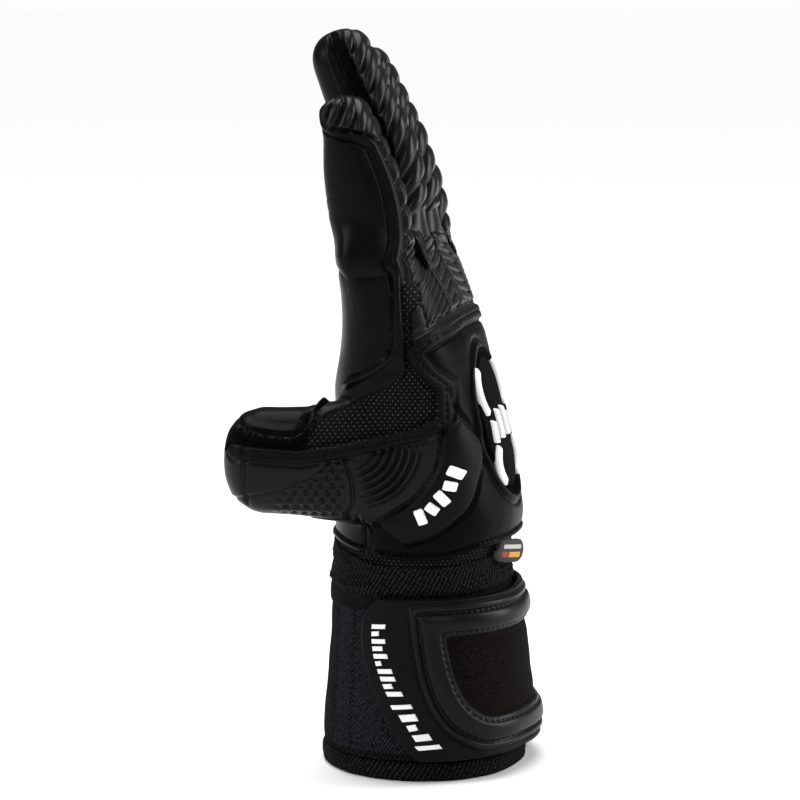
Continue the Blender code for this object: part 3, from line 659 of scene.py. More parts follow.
def shape_backhand(hand):
    back = hand.is_in("backhand_skin", "crescent_skin")
    hem = hand.z - hand_hem(hand.angle)
    hand.relief += back * 0.7 * (ease(0, 9, hem) * ease(2, 8, hand.binding))
    outside = hand.is_in("backhand_skin", "crescent_skin", "palm_latex_skin")
    sewn = stitches(hand.angle * 0.75, hem - 3.0, 0.5)
    hand.relief += outside * sewn * (hem < 8) * (hand.x > -60)
    hand.relief += 0.6 * ease(0, 1.0, hem) * ease(2.9, 2.2, hem)
    hand.relief -= 1.9 * ease(0.9, -0.5, hem)
    flare = ease(118, 98, hand.z) * ease(0.3, 0.9, hand.normals[:, 0])
    hand.relief += outside * 1.7 * flare * ease(-0.2, 1.2, hem)


def build_hand():
    angles = np.arange(0, 360, 2.25)
    heights = np.append(np.arange(78, 198, 1.5), [198.0, 199.2])
    shrink = -1.6 * ease(192.5, 198, heights) - 2.5 * (heights > 199)
    body = form_point(angles[None], heights[:, None], OUTSIDE + shrink[:, None])
    domed = THUMB_TIP_LENGTH * (1 - np.sin(np.radians(np.arange(0, 88, 4))))
    places = np.unique(np.concatenate((np.arange(8, -53, -1.5), THUMB_TIP + domed)))[::-1]
    thumb = thumb_point(np.arange(0, 360, 5.0)[None], places[:, None])
    points, faces = skin_round(body, thumb)
    kept = (points[faces, 2] > SKIN_BOTTOM).all(1)
    used, index = np.unique(faces[kept].ravel(), return_inverse=True)
    points, faces = points[used], index.reshape(-1, 4)
    hand = Hand(points, quad_normals(points, faces))
    find_regions(hand)
    shapes = (shape_binding, shape_crescent, shape_fan, shape_thumb)
    shapes += (shape_strips, shape_knuckles, shape_badge, shape_backhand)
    for shape in shapes:
        shape(hand)
    hand.relief += 0.12 * waves(3, points, 28)
    # the palm is thinner below the fingers
    palm = ease(0.2, -0.7, hand.normals[:, 0]) * ease(158, 186, hand.z)
    hand.relief -= 2.0 * palm
    points = points + hand.normals * hand.relief[:, None]
    normals = quad_normals(points, faces)
    on_back = (hand.normals[:, 0] > 0.7) & ~hand.is_in("index_side_mesh_skin", "thumb_gusset_mesh")
    uv = np.stack((hand.x - np.where(on_back, hand.y, 0), hand.z), 1)
    region = np.sort(hand.region[faces], 1)[:, 1]
    on_tip = points[faces, 0].mean(1) < THUMB_SPLIT
    return points, faces, normals, uv, region, on_tip


# ---------------------------------------------------------------- materials
def principled(name, colour, roughness, specular=0.5, sheen=0.0):
    """A new material and its shader."""
    made = bpy.data.materials.new(name)
    made.use_nodes = True
    shader = made.node_tree.nodes["Principled BSDF"]
    shader.inputs["Base Color"].default_value = (*colour, 1)
    shader.inputs["Roughness"].default_value = roughness
    shader.inputs["Specular IOR Level"].default_value = specular
    shader.inputs["Sheen Weight"].default_value = sheen
    shader.inputs["Sheen Roughness"].default_value = 0.4
    return made, shader


def node(tree, kind, **values):
    """A new node with some of its inputs set."""
    made = tree.nodes.new(kind)
    for name, given in values.items():
        made.inputs[name].default_value = given
    return made


class Number:
    """A number in a shader's tree. Arithmetic on it adds math nodes."""

    def __init__(self, socket):
        self.socket = socket

    def math(self, operation, *others):
        tree = self.socket.id_data
        made = tree.nodes.new("ShaderNodeMath")
        made.operation = operation
        for socket, given in zip(made.inputs, (self, *others)):
            if isinstance(given, Number):
                tree.links.new(given.socket, socket)
            else:
                socket.default_value = given
        return Number(made.outputs[0])

    def __add__(self, other):
        return self.math("ADD", other)

    def __sub__(self, other):
        return self.math("SUBTRACT", other)

    def __mul__(self, other):
        return self.math("MULTIPLY", other)

    def __truediv__(self, other):
        return self.math("DIVIDE", other)

    def clamped(self):
        return self.math("MAXIMUM", 0.0).math("MINIMUM", 1.0)

    def from_whole(self):
        """The distance to the nearest whole number, with its sign."""
        return self - self.math("ROUND")


def bump(made, shader, height, strength, distance):
    """A shader's normal, tilted by a height."""
    tree = made.node_tree
    bumped = node(tree, "ShaderNodeBump", Strength=strength, Distance=distance)
    tree.links.new(height.socket, bumped.inputs["Height"])
    tree.links.new(bumped.outputs["Normal"], shader.inputs["Normal"])


def tint(made, shader, share, dark, light):
    """Base colour between two colours."""
    tree = made.node_tree
    ramp = tree.nodes.new("ShaderNodeMix")
    ramp.data_type = "RGBA"
    ramp.inputs[6].default_value = (*dark, 1)
    ramp.inputs[7].default_value = (*light, 1)
    tree.links.new(share.socket, ramp.inputs[0])
    tree.links.new(ramp.outputs[2], shader.inputs["Base Color"])


def noise(tree, scale, detail, place=None):
    """Noise of a tree, at a socket's place or the texture's own."""
    made = node(tree, "ShaderNodeTexNoise", Scale=scale, Detail=detail)
    if place is not None:
        tree.links.new(place, made.inputs["Vector"])
    return Number(made.outputs[0])


def millimetres(tree):
    """A piece's own map in millimetres, and its U and V."""
    uv = tree.nodes.new("ShaderNodeUVMap")
    uv.uv_map = "millimetres"
    parts = tree.nodes.new("ShaderNodeSeparateXYZ")
    tree.links.new(uv.outputs[0], parts.inputs[0])
    return uv.outputs[0], Number(parts.outputs[0]), Number(parts.outputs[1])


def moulded_material(name, colour, roughness, grain, specular=0.045):
    """Latex or rubber: a fine grain and slightly uneven gloss."""
    made, shader = principled(name, colour, roughness, specular)
    tree = made.node_tree
    place = tree.nodes.new("ShaderNodeTexCoord").outputs["Object"]
    fine, broad = noise(tree, 1400.0, 3.0, place), noise(tree, 45.0, 2.0, place)
    bump(made, shader, fine, grain, 0.0002)
    uneven_gloss = (broad - 0.5) * 0.22 + roughness
    tree.links.new(uneven_gloss.socket, shader.inputs["Roughness"])
    tint(made, shader, broad, tuple(c * 0.75 for c in colour), tuple(c * 1.5 for c in colour))
    return made


def woven_material(name, dark, light, pitch, slant=0.5, strength=0.7, sheen=0.25):
    """A knit or weave: rows of small raised loops, each row shifted from the last."""
    made, shader = principled(name, dark, 0.88, 0.02, sheen * 0.02)
    tree = made.node_tree
    place, u, v = millimetres(tree)
    row = v / (pitch * 0.8)
    across = ((u / pitch + row * slant) * (2 * math.pi)).math("SINE")
    up = (row * (2 * math.pi)).math("SINE")
    loops = (across * up * 1.3 + 0.4).clamped()
    flecks = ((noise(tree, 0.9, 3.0, place) - 0.3) * 2.4).clamped()
    tint(made, shader, loops * flecks, dark, light)
    bump(made, shader, loops, strength, 0.0004)
    return made


def dotted_material(name, cloth, dot, pitch, radius):
    """Air mesh: a dark cloth with small light dots in staggered rows."""
    made, shader = principled(name, cloth, 0.8, 0.06, 0.01)
    tree = made.node_tree
    place, u, v = millimetres(tree)
    row = v / (pitch * 0.62)
    odd = row.math("ROUND").math("MODULO", 2.0) * 0.5
    du = (u / pitch + odd).from_whole() * pitch
    dv = row.from_whole() * (pitch * 0.62)
    distance = (du * du + dv * dv).math("SQRT")
    spot = ((distance / radius - 1.0) * -2.5).clamped()
    tint(made, shader, spot * noise(tree, 0.35, 1.0, place), cloth, dot)
    bump(made, shader, spot, 0.5, 0.0003)
    return made


MATERIALS = {
    "latex": moulded_material("latex_satin", (0.0018, 0.0019, 0.0022), 0.33, 0.10, 0.05),
    "latex_matt": moulded_material("latex_matt", (0.0024, 0.0024, 0.0025), 0.42, 0.15),
    "rubber": moulded_material("rubber_moulded", (0.0031, 0.0031, 0.0033), 0.35, 0.12, 0.09),
    "pods": moulded_material("rubber_pods", (0.0027, 0.0026, 0.0026), 0.33, 0.10, 0.12),
    # painted shade: a darker copy of latex_satin for the backhand panel, standing in for the shade that
    # falls on it away from the lights
    "back": moulded_material("latex_back_painted_shade", (0.0013, 0.0013, 0.0014), 0.38, 0.12, 0.024),
    # painted shade: a darker copy of latex_satin for the thumb's top pad, standing in for the shade that
    # falls on it
    "pad": moulded_material("latex_pad_painted_shade", (0.0012, 0.0012, 0.0013), 0.32, 0.10, 0.030),
    "tape": moulded_material("binding_tape", (0.0020, 0.0020, 0.0021), 0.48, 0.3),
    "knit": woven_material("knit_black", (0.0008, 0.0008, 0.0009), (0.026, 0.0265, 0.028), 1.5),
    "bandage": woven_material(
        "knit_bandage", (0.0006, 0.0006, 0.0007), (0.033, 0.0335, 0.034), 2.0, 0.5, 0.9
    ),
    "window": woven_material(
        "knit_window", (0.0012, 0.0009, 0.0009), (0.0200, 0.0160, 0.0150), 1.5, 0.25, 0.35
    ),
    "loops": woven_material("loop_fabric", (0.0011, 0.0014, 0.0018), (0.050, 0.057, 0.066), 1.3, 0.5, 1.0),
    "mesh": dotted_material("dotted_mesh", (0.0013, 0.0013, 0.0014), (0.075, 0.070, 0.062), 2.1, 0.38),
    "band": woven_material("smooth_band", (0.0010, 0.0010, 0.0012), (0.0034, 0.0034, 0.0038), 0.8, 0.5, 0.2),
}


def white_material():
    made, shader = principled("white_print", (0.80, 0.80, 0.80), 0.42)
    grain = noise(made.node_tree, 900.0, 2.0)
    bump(made, shader, grain, 0.08, 0.0002)
    tint(made, shader, grain, (0.74, 0.74, 0.74), (0.86, 0.86, 0.86))
    return made


LABEL_GROUND = (0.02, 0.018, 0.017)
# Blocks on the label: from and to across it, from and to up it, and their colour
LABEL_BLOCKS = (
    ((3.5, 16.5, 5.2, 6.8), (0.42, 0.40, 0.38)),
    ((8.0, 16.0, 2.0, 4.0), (0.55, 0.26, 0.04)),
    ((3.5, 7.2, 2.0, 4.0), (0.30, 0.03, 0.03)),
)


def label_material():
    """Woven tab: a black ground with a light line and two small coloured blocks."""
    made, shader = principled("woven_label", LABEL_GROUND, 0.7, 0.3)
    tree = made.node_tree
    _, u, v = millimetres(tree)
    colour = None
    for (low_u, high_u, low_v, high_v), paint in LABEL_BLOCKS:
        limits = (("LESS_THAN", u, high_u), ("GREATER_THAN", v, low_v), ("LESS_THAN", v, high_v))
        within = u.math("GREATER_THAN", low_u)
        for operation, place, limit in limits:
            within = within * place.math(operation, limit)
        mix = tree.nodes.new("ShaderNodeMix")
        mix.data_type = "RGBA"
        mix.inputs[6].default_value = (*LABEL_GROUND, 1)
        mix.inputs[7].default_value = (*paint, 1)
        if colour is not None:
            tree.links.new(colour, mix.inputs[6])
        tree.links.new(within.socket, mix.inputs[0])
        colour = mix.outputs[2]
    tree.links.new(colour, shader.inputs["Base Color"])
    bump(made, shader, (v * 14.0).math("SINE"), 0.4, 0.0002)
    return made


MATERIALS["white"] = white_material()
MATERIALS["lining"] = principled("lining_cloth", (0.006, 0.006, 0.0065), 0.85, 0.15)[0]
MATERIALS["label"] = label_material()
MATERIALS["strap_flat"] = moulded_material("strap_flat", (0.0034, 0.0035, 0.0039), 0.48, 0.2)


def dress(made, look):
    made.data.materials.clear()
    made.data.materials.append(MATERIALS[look])
    return made


def world(point):
    """Metres in the frame from glove millimetres."""
    return tuple((np.asarray(point, float) + AXIS) * MM)


# ---------------------------------------------------------------- hand and thumb pieces
THUMB_BACK_NODES = ("thumb_root_panel", "thumb_back_panel_base", "thumb_base_sleeve")
THUMB_TIP_NODES = ("thumb_pad_latex_tip", "thumb_middle_sleeve")
# panel: look, record slot, the nodes that its piece on the hand and on the thumb's end stands for
HAND_PIECES = {
    "palm_latex_skin": ("latex", "latex", ("palm_latex",), ()),
    "palm_roll_strip": ("latex", "latex", (), ()),
    # the backhand's darker look is painted shade, not a darker latex
    "backhand_skin": ("back", "latex", ("backhand_panel",), ()),
    "knuckle_skin": ("rubber", "rubber", ("knuckle_panel",), ()),
    "thumb_gusset_mesh": ("mesh", "mesh", ("thumb_web_gusset",), ()),
    "index_side_mesh_skin": ("mesh", "mesh", ("index_side_mesh",), ()),
    "little_side_mesh_skin": ("mesh", "mesh", ("little_side_mesh",), ()),
    "little_roll_strip": ("latex", "latex", (), ()),
    "binding_tape": ("tape", "knit", (), ()),
    "thumb_moulded_skin": ("rubber", "rubber", THUMB_BACK_NODES, ("thumb_back_panel_tip",)),
    "crescent_skin": ("latex_matt", "latex", ("crescent_pad",), ()),
    # the thumb pad's darker look is painted shade, not a darker latex
    "thumb_pad_skin": ("pad", "latex", ("thumb_pad_latex_base",), THUMB_TIP_NODES),
    "thumb_side_band": ("band", "knit", (), ()),
    "badge_skin": ("band", "rubber", ("badge_plate",), ()),
}
# These pieces are baked in place rather than attached to the hand
BLENDED = ("palm_latex_skin", "palm_roll_strip", "thumb_gusset_mesh", "binding_tape")
BLENDED += ("thumb_moulded_skin", "thumb_pad_skin", "thumb_side_band")


def place_hand():
    points, faces, normals, uv, region, on_tip = build_hand()
    for number, (name, (look, slot, hand_nodes, tip_nodes)) in enumerate(HAND_PIECES.items()):
        for end, nodes in ((False, hand_nodes), (True, tip_nodes)):
            keep = (region == number) & (on_tip == end)
            if not keep.any():
                continue
            made = part_of(name + ("_tip" if end else ""), points, faces, normals, uv, keep)
            dress(made, look)
            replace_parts(made, *nodes)
            if end:
                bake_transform(made)
            elif name in BLENDED:
                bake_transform(made)
            else:
                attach(made, "hand")


place_hand()


# ---------------------------------------------------------------- fingers
# From one pod to the next, how far a pod's ends hang below its crest, and the crest's angle
POD_PITCH, POD_SLANT, POD_CENTRE = 8.3, 9.5, 9.0
PODS_FROM = {"index": 9.0, "middle": 21.0, "ring": 20.0, "little": 9.0}  # lengths along a finger
ROOT_SUNK = 0.9  # how deep a finger's root goes under the hand's skin
ROOT_SQUARENESS = {"index": 2.4, "middle": 3.4, "ring": 3.4, "little": 2.4}
STRIP_ANGLES = {"index": (16, 57)}  # side strip on the thumb side, from the finger's back
SIDE_ANGLES = (66, 88)
# length from the root: how much flatter the outer fingers are there, and the index's palm side
ROOT_FIT = [(-6, 5.2), (-2, 5.1), (2, 4.6), (6, 3.4), (10, 1.9), (14, 0.8), (18, 0)]
INDEX_PALM = [(10, 0), (16, 1.1), (22, 2.2), (28, 2.8), (34, 2.7), (40, 2.0), (46, 0.6)]
INDEX_PALM += [(52, -0.8), (58, -1.0), (62, 0)]
FINGER_ROWS, FINGER_COLUMNS = 330, 200
FINGER_ARC = 0.22  # millimetres round a finger for each degree


def finger_line(name, length):
    """Centre line of a finger at lengths from its root, and its tilt from upright."""
    place, to_bend, bend = FINGERS[name][:3]
    fine = np.linspace(0, 100, 1001)
    t = np.clip((fine - to_bend + BEND_HALF) / (2 * BEND_HALF), 0, 1)
    tilt = np.radians(bend) * t * t * (3 - 2 * t)
    step = fine[1]
    x, z = (np.cumsum(np.append(0, (f[1:] + f[:-1]) / 2)) * step for f in (-np.sin(tilt), np.cos(tilt)))
    at = np.maximum(length, 0)
    centre_x = FINGER_ROOT[0] + np.interp(at, fine, x)
    centre_z = FINGER_ROOT[1] + np.interp(at, fine, z) + np.minimum(length, 0)
    return centre_x, place * FINGER_PITCH, centre_z, np.interp(at, fine, tilt)


def finger_point(name, angle, length):
    """Points of a finger's surface. Angle 0 is its back, 180 its palm side, -90 faces -Y."""
    _, to_bend, _, full, root_half, middle_half, tip_half, half_width = FINGERS[name]
    thick = between([(0, root_half), (to_bend, middle_half), (full, tip_half)], length)[0]
    rounding = np.clip((length - (full - TIP_LENGTH)) / TIP_LENGTH, 0, 1)
    scale = (1 - rounding**TIP_SQUARENESS) ** (1 / TIP_SQUARENESS)
    x, y, z, tilt = finger_line(name, length)
    # the root widens into the hand and, below it, sinks under the hand's skin
    root = ease(20, -2, length)
    sunk = ROOT_SUNK * ease(1, -6, length)
    hand_x, hand_half, hand_wide, _ = between(FORM_STATIONS, z)
    thick = thick + (hand_half + OUTSIDE - thick) * root - sunk
    if abs(y) > FINGER_PITCH:
        thick = thick - between(ROOT_FIT, np.minimum(length, 18))[0]
    if name == "index":
        more = between(INDEX_PALM, np.clip(length, 10, 62))[0]
        thick = thick + more * ease(80, 125, np.abs(angle))
    x = x + (hand_x - x) * root
    outer_side = np.where(angle * y > 0, hand_wide + OUTSIDE - abs(y), FINGER_PITCH / 2 + 0.2)
    outer_side = np.where(abs(y) > FINGER_PITCH, outer_side, FINGER_PITCH / 2 + 0.2)
    width = half_width + (outer_side - half_width) * root - sunk
    c, s = rounded(angle, FINGER_SQUARENESS + (ROOT_SQUARENESS[name] - FINGER_SQUARENESS) * root)
    reach = thick * scale * c
    across = y + width * scale * s
    return np.stack(np.broadcast_arrays(x + np.cos(tilt) * reach, across, z + np.sin(tilt) * reach), -1)


def onto_hand(name, points, angle, length):
    """A finger's points, drawn onto the hand's own surface towards the root."""
    _, s = rounded(angle, FINGER_SQUARENESS)
    inner = {"index": s, "little": -s}.get(name, np.abs(s))
    weight = ease(17, 0, length) * ease(0.99, 0.8, inner)
    around = form_angle(points.reshape(-1, 3)).reshape(angle.shape)
    palm = ease(95, 135, np.abs(around)) * ease(158, 186, points[..., 2])
    offset = OUTSIDE - 2.0 * palm + 0.15 - (1.05 + 1.3 * palm) * ease(1, -6, length)
    target = form_point(around, points[..., 2], offset)
    return points + (target - points) * weight[..., None]


def pod_relief(name, angle, length):
    """Puffy crescents over the back, each tucked under the next towards the tip."""
    full = FINGERS[name][3]
    slanted = length + POD_SLANT * (np.abs(angle - POD_CENTRE) / 66) ** 1.35
    place = (full - 1.0 - slanted) / POD_PITCH
    t = place - np.floor(place)
    return 1 - np.abs(2 * t**1.2 - 1) ** 3.2


def finger_relief(name, angle, length, points):
    """How far a finger's skin stands out, and where its back pad and its side strips are."""
    thumb_low, thumb_high = STRIP_ANGLES.get(name, SIDE_ANGLES)
    root = ease(13, 0, length) * (name == "index")
    low = np.where(angle < 0, thumb_low + 13 * root, SIDE_ANGLES[0])
    high = np.where(angle < 0, thumb_high + 9 * root, SIDE_ANGLES[1])
    full = FINGERS[name][3]
    if name == "index":
        # its back pad wraps over the tip
        over = 115 * ease(full - 23, full - 5, length) * (angle < 0)
        low, high = low + over, high + over
    out = np.abs(angle)
    inner = (low - out) * FINGER_ARC
    edge = ease(-0.4, 1.7, inner)
    on_back = out < low
    start = PODS_FROM[name]
    body = ease(start - 1.0, start + 1.0, length + 0.5 * POD_SLANT * (out / 66) ** 1.4)
    pods = -0.8 + 1.9 * pod_relief(name, angle, length) * edge
    knuckle = knuckle_relief(points[..., 1], points[..., 2])
    relief = on_back * (pods * body + knuckle * (1 - body) * edge)
    strip = (out >= low) & (out < high)
    middle = (low + high) / 2
    if name == "index":
        rolled = crown((out - middle) * FINGER_ARC, 2.4, 1.0) - 0.3
        relief += strip * np.where(angle < 0, rolled, -0.6)
    else:
        rough = 0.45 * waves(11, points.reshape(-1, 3), 5.0, 2).reshape(out.shape)
        relief += strip * (rough - 0.5)
    seam = np.abs(out - high) * FINGER_ARC
    relief += groove(seam, 0.6, 0.8) + groove(np.abs(out - low) * FINGER_ARC, 0.5, 0.5)
    rolled_edge = crown((out - high) * FINGER_ARC - 1.6, 1.5, 0.7)
    relief += rolled_edge * ease(2, 6, length) * (name != "index")
    # the palm side's latex creases at the bend
    to_bend = FINGERS[name][1]
    palm = ease(110, 150, out)
    for crease in (to_bend - 3, to_bend + 4):
        relief += palm * groove(length - crease, 1.3, 0.12 if name == "index" else 0.4)
    relief *= ease(full, full - 3.5, length)
    return relief, on_back, strip


def build_finger(name):
    full, to_bend = FINGERS[name][3], FINGERS[name][1]
    shaft = np.linspace(-6, full - TIP_LENGTH, FINGER_ROWS - 60)
    dome = full - TIP_LENGTH + TIP_LENGTH * np.sin(np.radians(np.linspace(0, 89, 61)))[1:]
    length = np.concatenate((shaft, dome))[:, None]
    angle = np.linspace(-180, 180, FINGER_COLUMNS, endpoint=False)[None]
    base = finger_point(name, angle, length)
    angle, length = np.broadcast_arrays(angle, length)
    base = onto_hand(name, base, angle, length)
    normals = grid_normals(base)
    relief, on_back, strip = finger_relief(name, angle, length, base)
    points = base + normals * relief[..., None]
    # neighbouring fingers lie flat against each other
    centre = FINGERS[name][0] * FINGER_PITCH
    beside = FINGER_PITCH / 2 - 0.15
    low = -FREE if name == "index" else centre - beside
    high = FREE if name == "little" else centre + beside
    points[..., 1] = np.clip(points[..., 1], low, high)
    rows, columns = length.shape
    faces = grid_faces(rows, columns, True)
    flat = points.reshape(-1, 3)
    uv = np.stack((angle * FINGER_ARC, length), -1).reshape(-1, 2)
    middle = faces[:, 0]
    split = (KNUCKLE + to_bend) / 2
    tip_end = np.arange(columns) + (rows - 1) * columns
    pole = len(flat)
    flat = np.vstack((flat, flat[tip_end].mean(0)))
    uv = np.vstack((uv, uv[tip_end].mean(0)))
    first, second = tip_end[::2], tip_end[1::2]
    cap = np.stack((first, second, np.roll(first, -1), np.full(len(first), pole)), 1)
    faces = np.vstack((faces, cap))
    middle = np.append(middle, cap[:, 0])
    shading = quad_normals(flat, faces)
    is_tip = length.ravel()[middle] >= split
    # kind, its faces, look, record slot, and the ending of the nodes it stands for
    kinds = (
        ("pods", on_back.ravel()[middle], "pods", "rubber", "back_pad"),
        ("side_strip", strip.ravel()[middle], "latex" if name == "index" else "band", "latex", None),
        ("latex", ~(on_back | strip).ravel()[middle], "latex", "latex", "palm_latex"),
    )
    for kind, here, look, slot, stands_for in kinds:
        for end in ("base", "tip"):
            keep = here & (is_tip == (end == "tip"))
            made = part_of(f"{name}_{kind}_{end}_skin", flat, faces, shading, uv, keep)
            dress(made, look)
            if stands_for:
                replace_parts(made, f"{name}_{stands_for}_{end}")
            if end == "base":
                sleeve, bodies = "root", ("hand", f"{name}_lower")
                span = np.array([0.0, split - 1])
            else:
                sleeve, bodies = "middle", (f"{name}_lower", f"{name}_upper")
                span = np.array([split + 1, to_bend + 9])
            if stands_for == "palm_latex":
                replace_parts(made, f"{name}_{sleeve}_sleeve")
            kind == "pods"
            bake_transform(made)


for finger in FINGERS:
    build_finger(finger)


# ---------------------------------------------------------------- cuff
CUFF_COLUMNS = 900
HEM_TOP, SLEEVE_TOP = 7.0, 70.6
ARC = 0.70  # millimetres round the cuff for each degree
STRAP_BOTTOM, STRAP_TOP = 8.6, 70.4
STRAP_HINGE = 60.0  # angle past which the strap stays on the cuff
STRAP_INNER, STRAP_OUTER = 4.8, 6.7
SEWN_END = 108.0
# Curved free end of the tab: height, angle
TAB_END = [(8.6, -80), (15, -89), (31, -101), (47, -110), (58, -112), (65, -109.5), (70.4, -101)]
# Corners of the knit window: angle, height
WINDOW = [(50, 56), (50, 24), (-42, 23.6), (-53, 28), (-59.5, 34), (-64, 43.5), (-66, 56.2)]
RIDGE_FROM, RIDGE_TO = 1.3, 9.2  # distances from the window
PIPING = 11.0
STRAP_SPLIT = 15.0  # angle where the band becomes the tab
STRAP_CELL = 0.30


# Where the knit bandage ends and the mesh above it shows: angle, height
BANDAGE_TOP = [(-180, 88), (-150, 87.5), (-128, 85.5), (-108, 83), (-94, 82), (-60, 82.4)]
BANDAGE_TOP += [(-35, 84), (-10, 85.5), (40, 84.5), (110, 83), (180, 88)]
BANDAGE_BOTTOM = 68.5


def cuff_slab(name, look, angle, height, outer, inner, wrap=False):
    """A closed piece between two offsets from the cuff's form."""
    sides = [form_point(angle, height, offset) for offset in (outer, inner)]
    made = slab(name, *sides, np.stack((angle * ARC, height), -1), wrap)
    return dress(made, look)


def ring(name, look, heights, offset, inner, angles=(0, 360), columns=CUFF_COLUMNS):
    """A closed band round the cuff. offset(angle, height) is its outer face's, from the form."""
    wrap = angles[1] - angles[0] == 360
    angle = np.linspace(*angles, columns, endpoint=not wrap)[None]
    share = np.linspace(0, 1, max(int((heights[1] - heights[0]) / 0.45), 12))[:, None]
    height = heights[0] + (heights[1] - heights[0]) * share
    angle, height = np.broadcast_arrays(angle, height)
    return cuff_slab(name, look, angle, height, offset(angle, height), inner, wrap)


def round_edges(height, low, high, radius, depth):
    """How far a band's face falls away towards its two edges."""
    edge = np.minimum(height - low, high - height)
    return -depth * (1 - round_off(edge, radius))


def uneven(seed, angle, height, longest, squash=1.0):
    """Soft unevenness of a piece on the cuff."""
    places = form_point(angle, height * squash, 0.0).reshape(-1, 3)
    return waves(seed, places, longest).reshape(angle.shape)


def signed(angle):
    """The same angle between -180 and 180."""
    return (angle + 180) % 360 - 180


def build_cuff():
    def hem_face(angle, height):
        return 2.75 + round_edges(height, 0, HEM_TOP, 3.0, 1.3) + 0.25 * uneven(21, angle, height, 16)

    made = ring("cuff_hem_knit", "bandage", (0, HEM_TOP), hem_face, 0.6)
    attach(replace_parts(made, "cuff_hem"), "hand")

    def sleeve_face(angle, height):
        fold = crown(height - 66.5, 4.2, 0.9) + groove(height - 62.2, 0.7, 0.5)
        puff = 0.55 * uneven(22, angle, height, 34)
        seam = stitches(angle * ARC, height - 9.2, 0.3)
        return 2.0 + fold + puff + seam + round_edges(height, 7.3, SLEEVE_TOP, 1.2, 1.0)

    made = ring("cuff_sleeve_knit", "knit", (7.3, SLEEVE_TOP), sleeve_face, 0.6)
    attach(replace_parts(made, "cuff_sleeve"), "hand")

    angle = np.linspace(0, 360, CUFF_COLUMNS, endpoint=False)[None]
    share = np.linspace(0, 1, 60)[:, None]
    top = np.interp(signed(angle), *zip(*BANDAGE_TOP))
    height = BANDAGE_BOTTOM + (top - BANDAGE_BOTTOM) * share
    angle = np.broadcast_to(angle, height.shape)
    ripple = np.sin(height * 0.62 + 0.8 * np.sin(np.radians(angle * 2)))
    pucker = 0.35 * uneven(23, angle, height, 9, 2.2) + 0.35 * ripple
    offset = 3.1 + pucker + 0.5 * crown(share - 0.96, 0.06, 1.0) + np.where(share > 0.985, -1.0, 0)
    offset -= 0.8 * ease(72.5, 70.5, height)
    made = cuff_slab("wrist_bandage_knit", "bandage", angle, height, offset, 1.5, True)
    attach(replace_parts(made, "wrist_bandage"), "hand")

    height = top - 2 + (hand_hem(signed(angle)) + 3 - top) * share
    offset = 2.7 + 0.15 * uneven(24, angle, height, 12)
    made = cuff_slab("wrist_air_mesh", "mesh", angle, height, offset, 1.6, True)
    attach(made, "hand")

    def patch_face(angle, height):
        strip = ease(-120.5, -121.5, angle) * ease(-134.5, -133, angle)
        edge = round_edges(height, 10.5, 65, 0.8, 0.5)
        sewn = stitches(height, (angle + 119.6) * ARC, 0.3) + stitches(angle * ARC, height - 13, 0.35)
        return 3.35 + 0.45 * strip + edge + sewn + 0.12 * uneven(25, angle, height, 12)

    made = ring("loop_patch_weave", "loops", (10.5, 65), patch_face, 1.9, (-134.5, -58), 420)
    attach(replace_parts(made, "loop_patch"), "hand")


def outside_window(u, height, soft):
    """Distance outside the window's outline, with its corners rounded by soft millimetres."""
    corners = np.array([(a * ARC, z) for a, z in WINDOW])
    sides = np.roll(corners, -1, axis=0) - corners
    lengths = np.linalg.norm(sides, axis=1)
    total = 0
    for (x, z), (du, dz) in zip(corners, sides / lengths[:, None]):
        total = total + np.exp(np.clip(((height - z) * du - (u - x) * dz) / soft, -60, 60))
    return soft * np.log(total)


def strap_face(angle, height):
    """The strap's outer face: a flat border, a piping, and a broad ridge round the window."""
    u = angle * ARC
    near, far = outside_window(u, height, 1.2), outside_window(u, height, 0.8)
    distance = near + (far - near) * ease(2, 8, near)
    along = np.where((height > 25) & (height < 55) & (np.abs(u) < 90), height, u)
    middle, half = (RIDGE_FROM + RIDGE_TO) / 2, (RIDGE_TO - RIDGE_FROM) / 2
    ridge = crown(distance - middle, half + 0.2, 2.2)
    sewn = stitches(along, distance - RIDGE_FROM - 0.6, 0.6, 0.4)
    sewn += stitches(along, distance - RIDGE_TO + 0.3, 0.7, 0.4)
    piping = crown(distance - PIPING, 1.3, 1.0)
    window = -1.0 * ease(0.7, -0.1, distance) + 0.5 * ease(-1, -7, distance)
    lip = crown(distance - 0.5, 0.8, 0.5)
    bulge = 1.7 * ease(36, 22, height) + 0.9 * ease(20, 13, height)
    bulge = bulge * ease(-20, 12, angle) * ease(66, 35, angle)
    relief = ridge + sewn + piping + window + lip + bulge
    return relief + groove(distance - PIPING - 1.7, 0.45, 0.4), distance


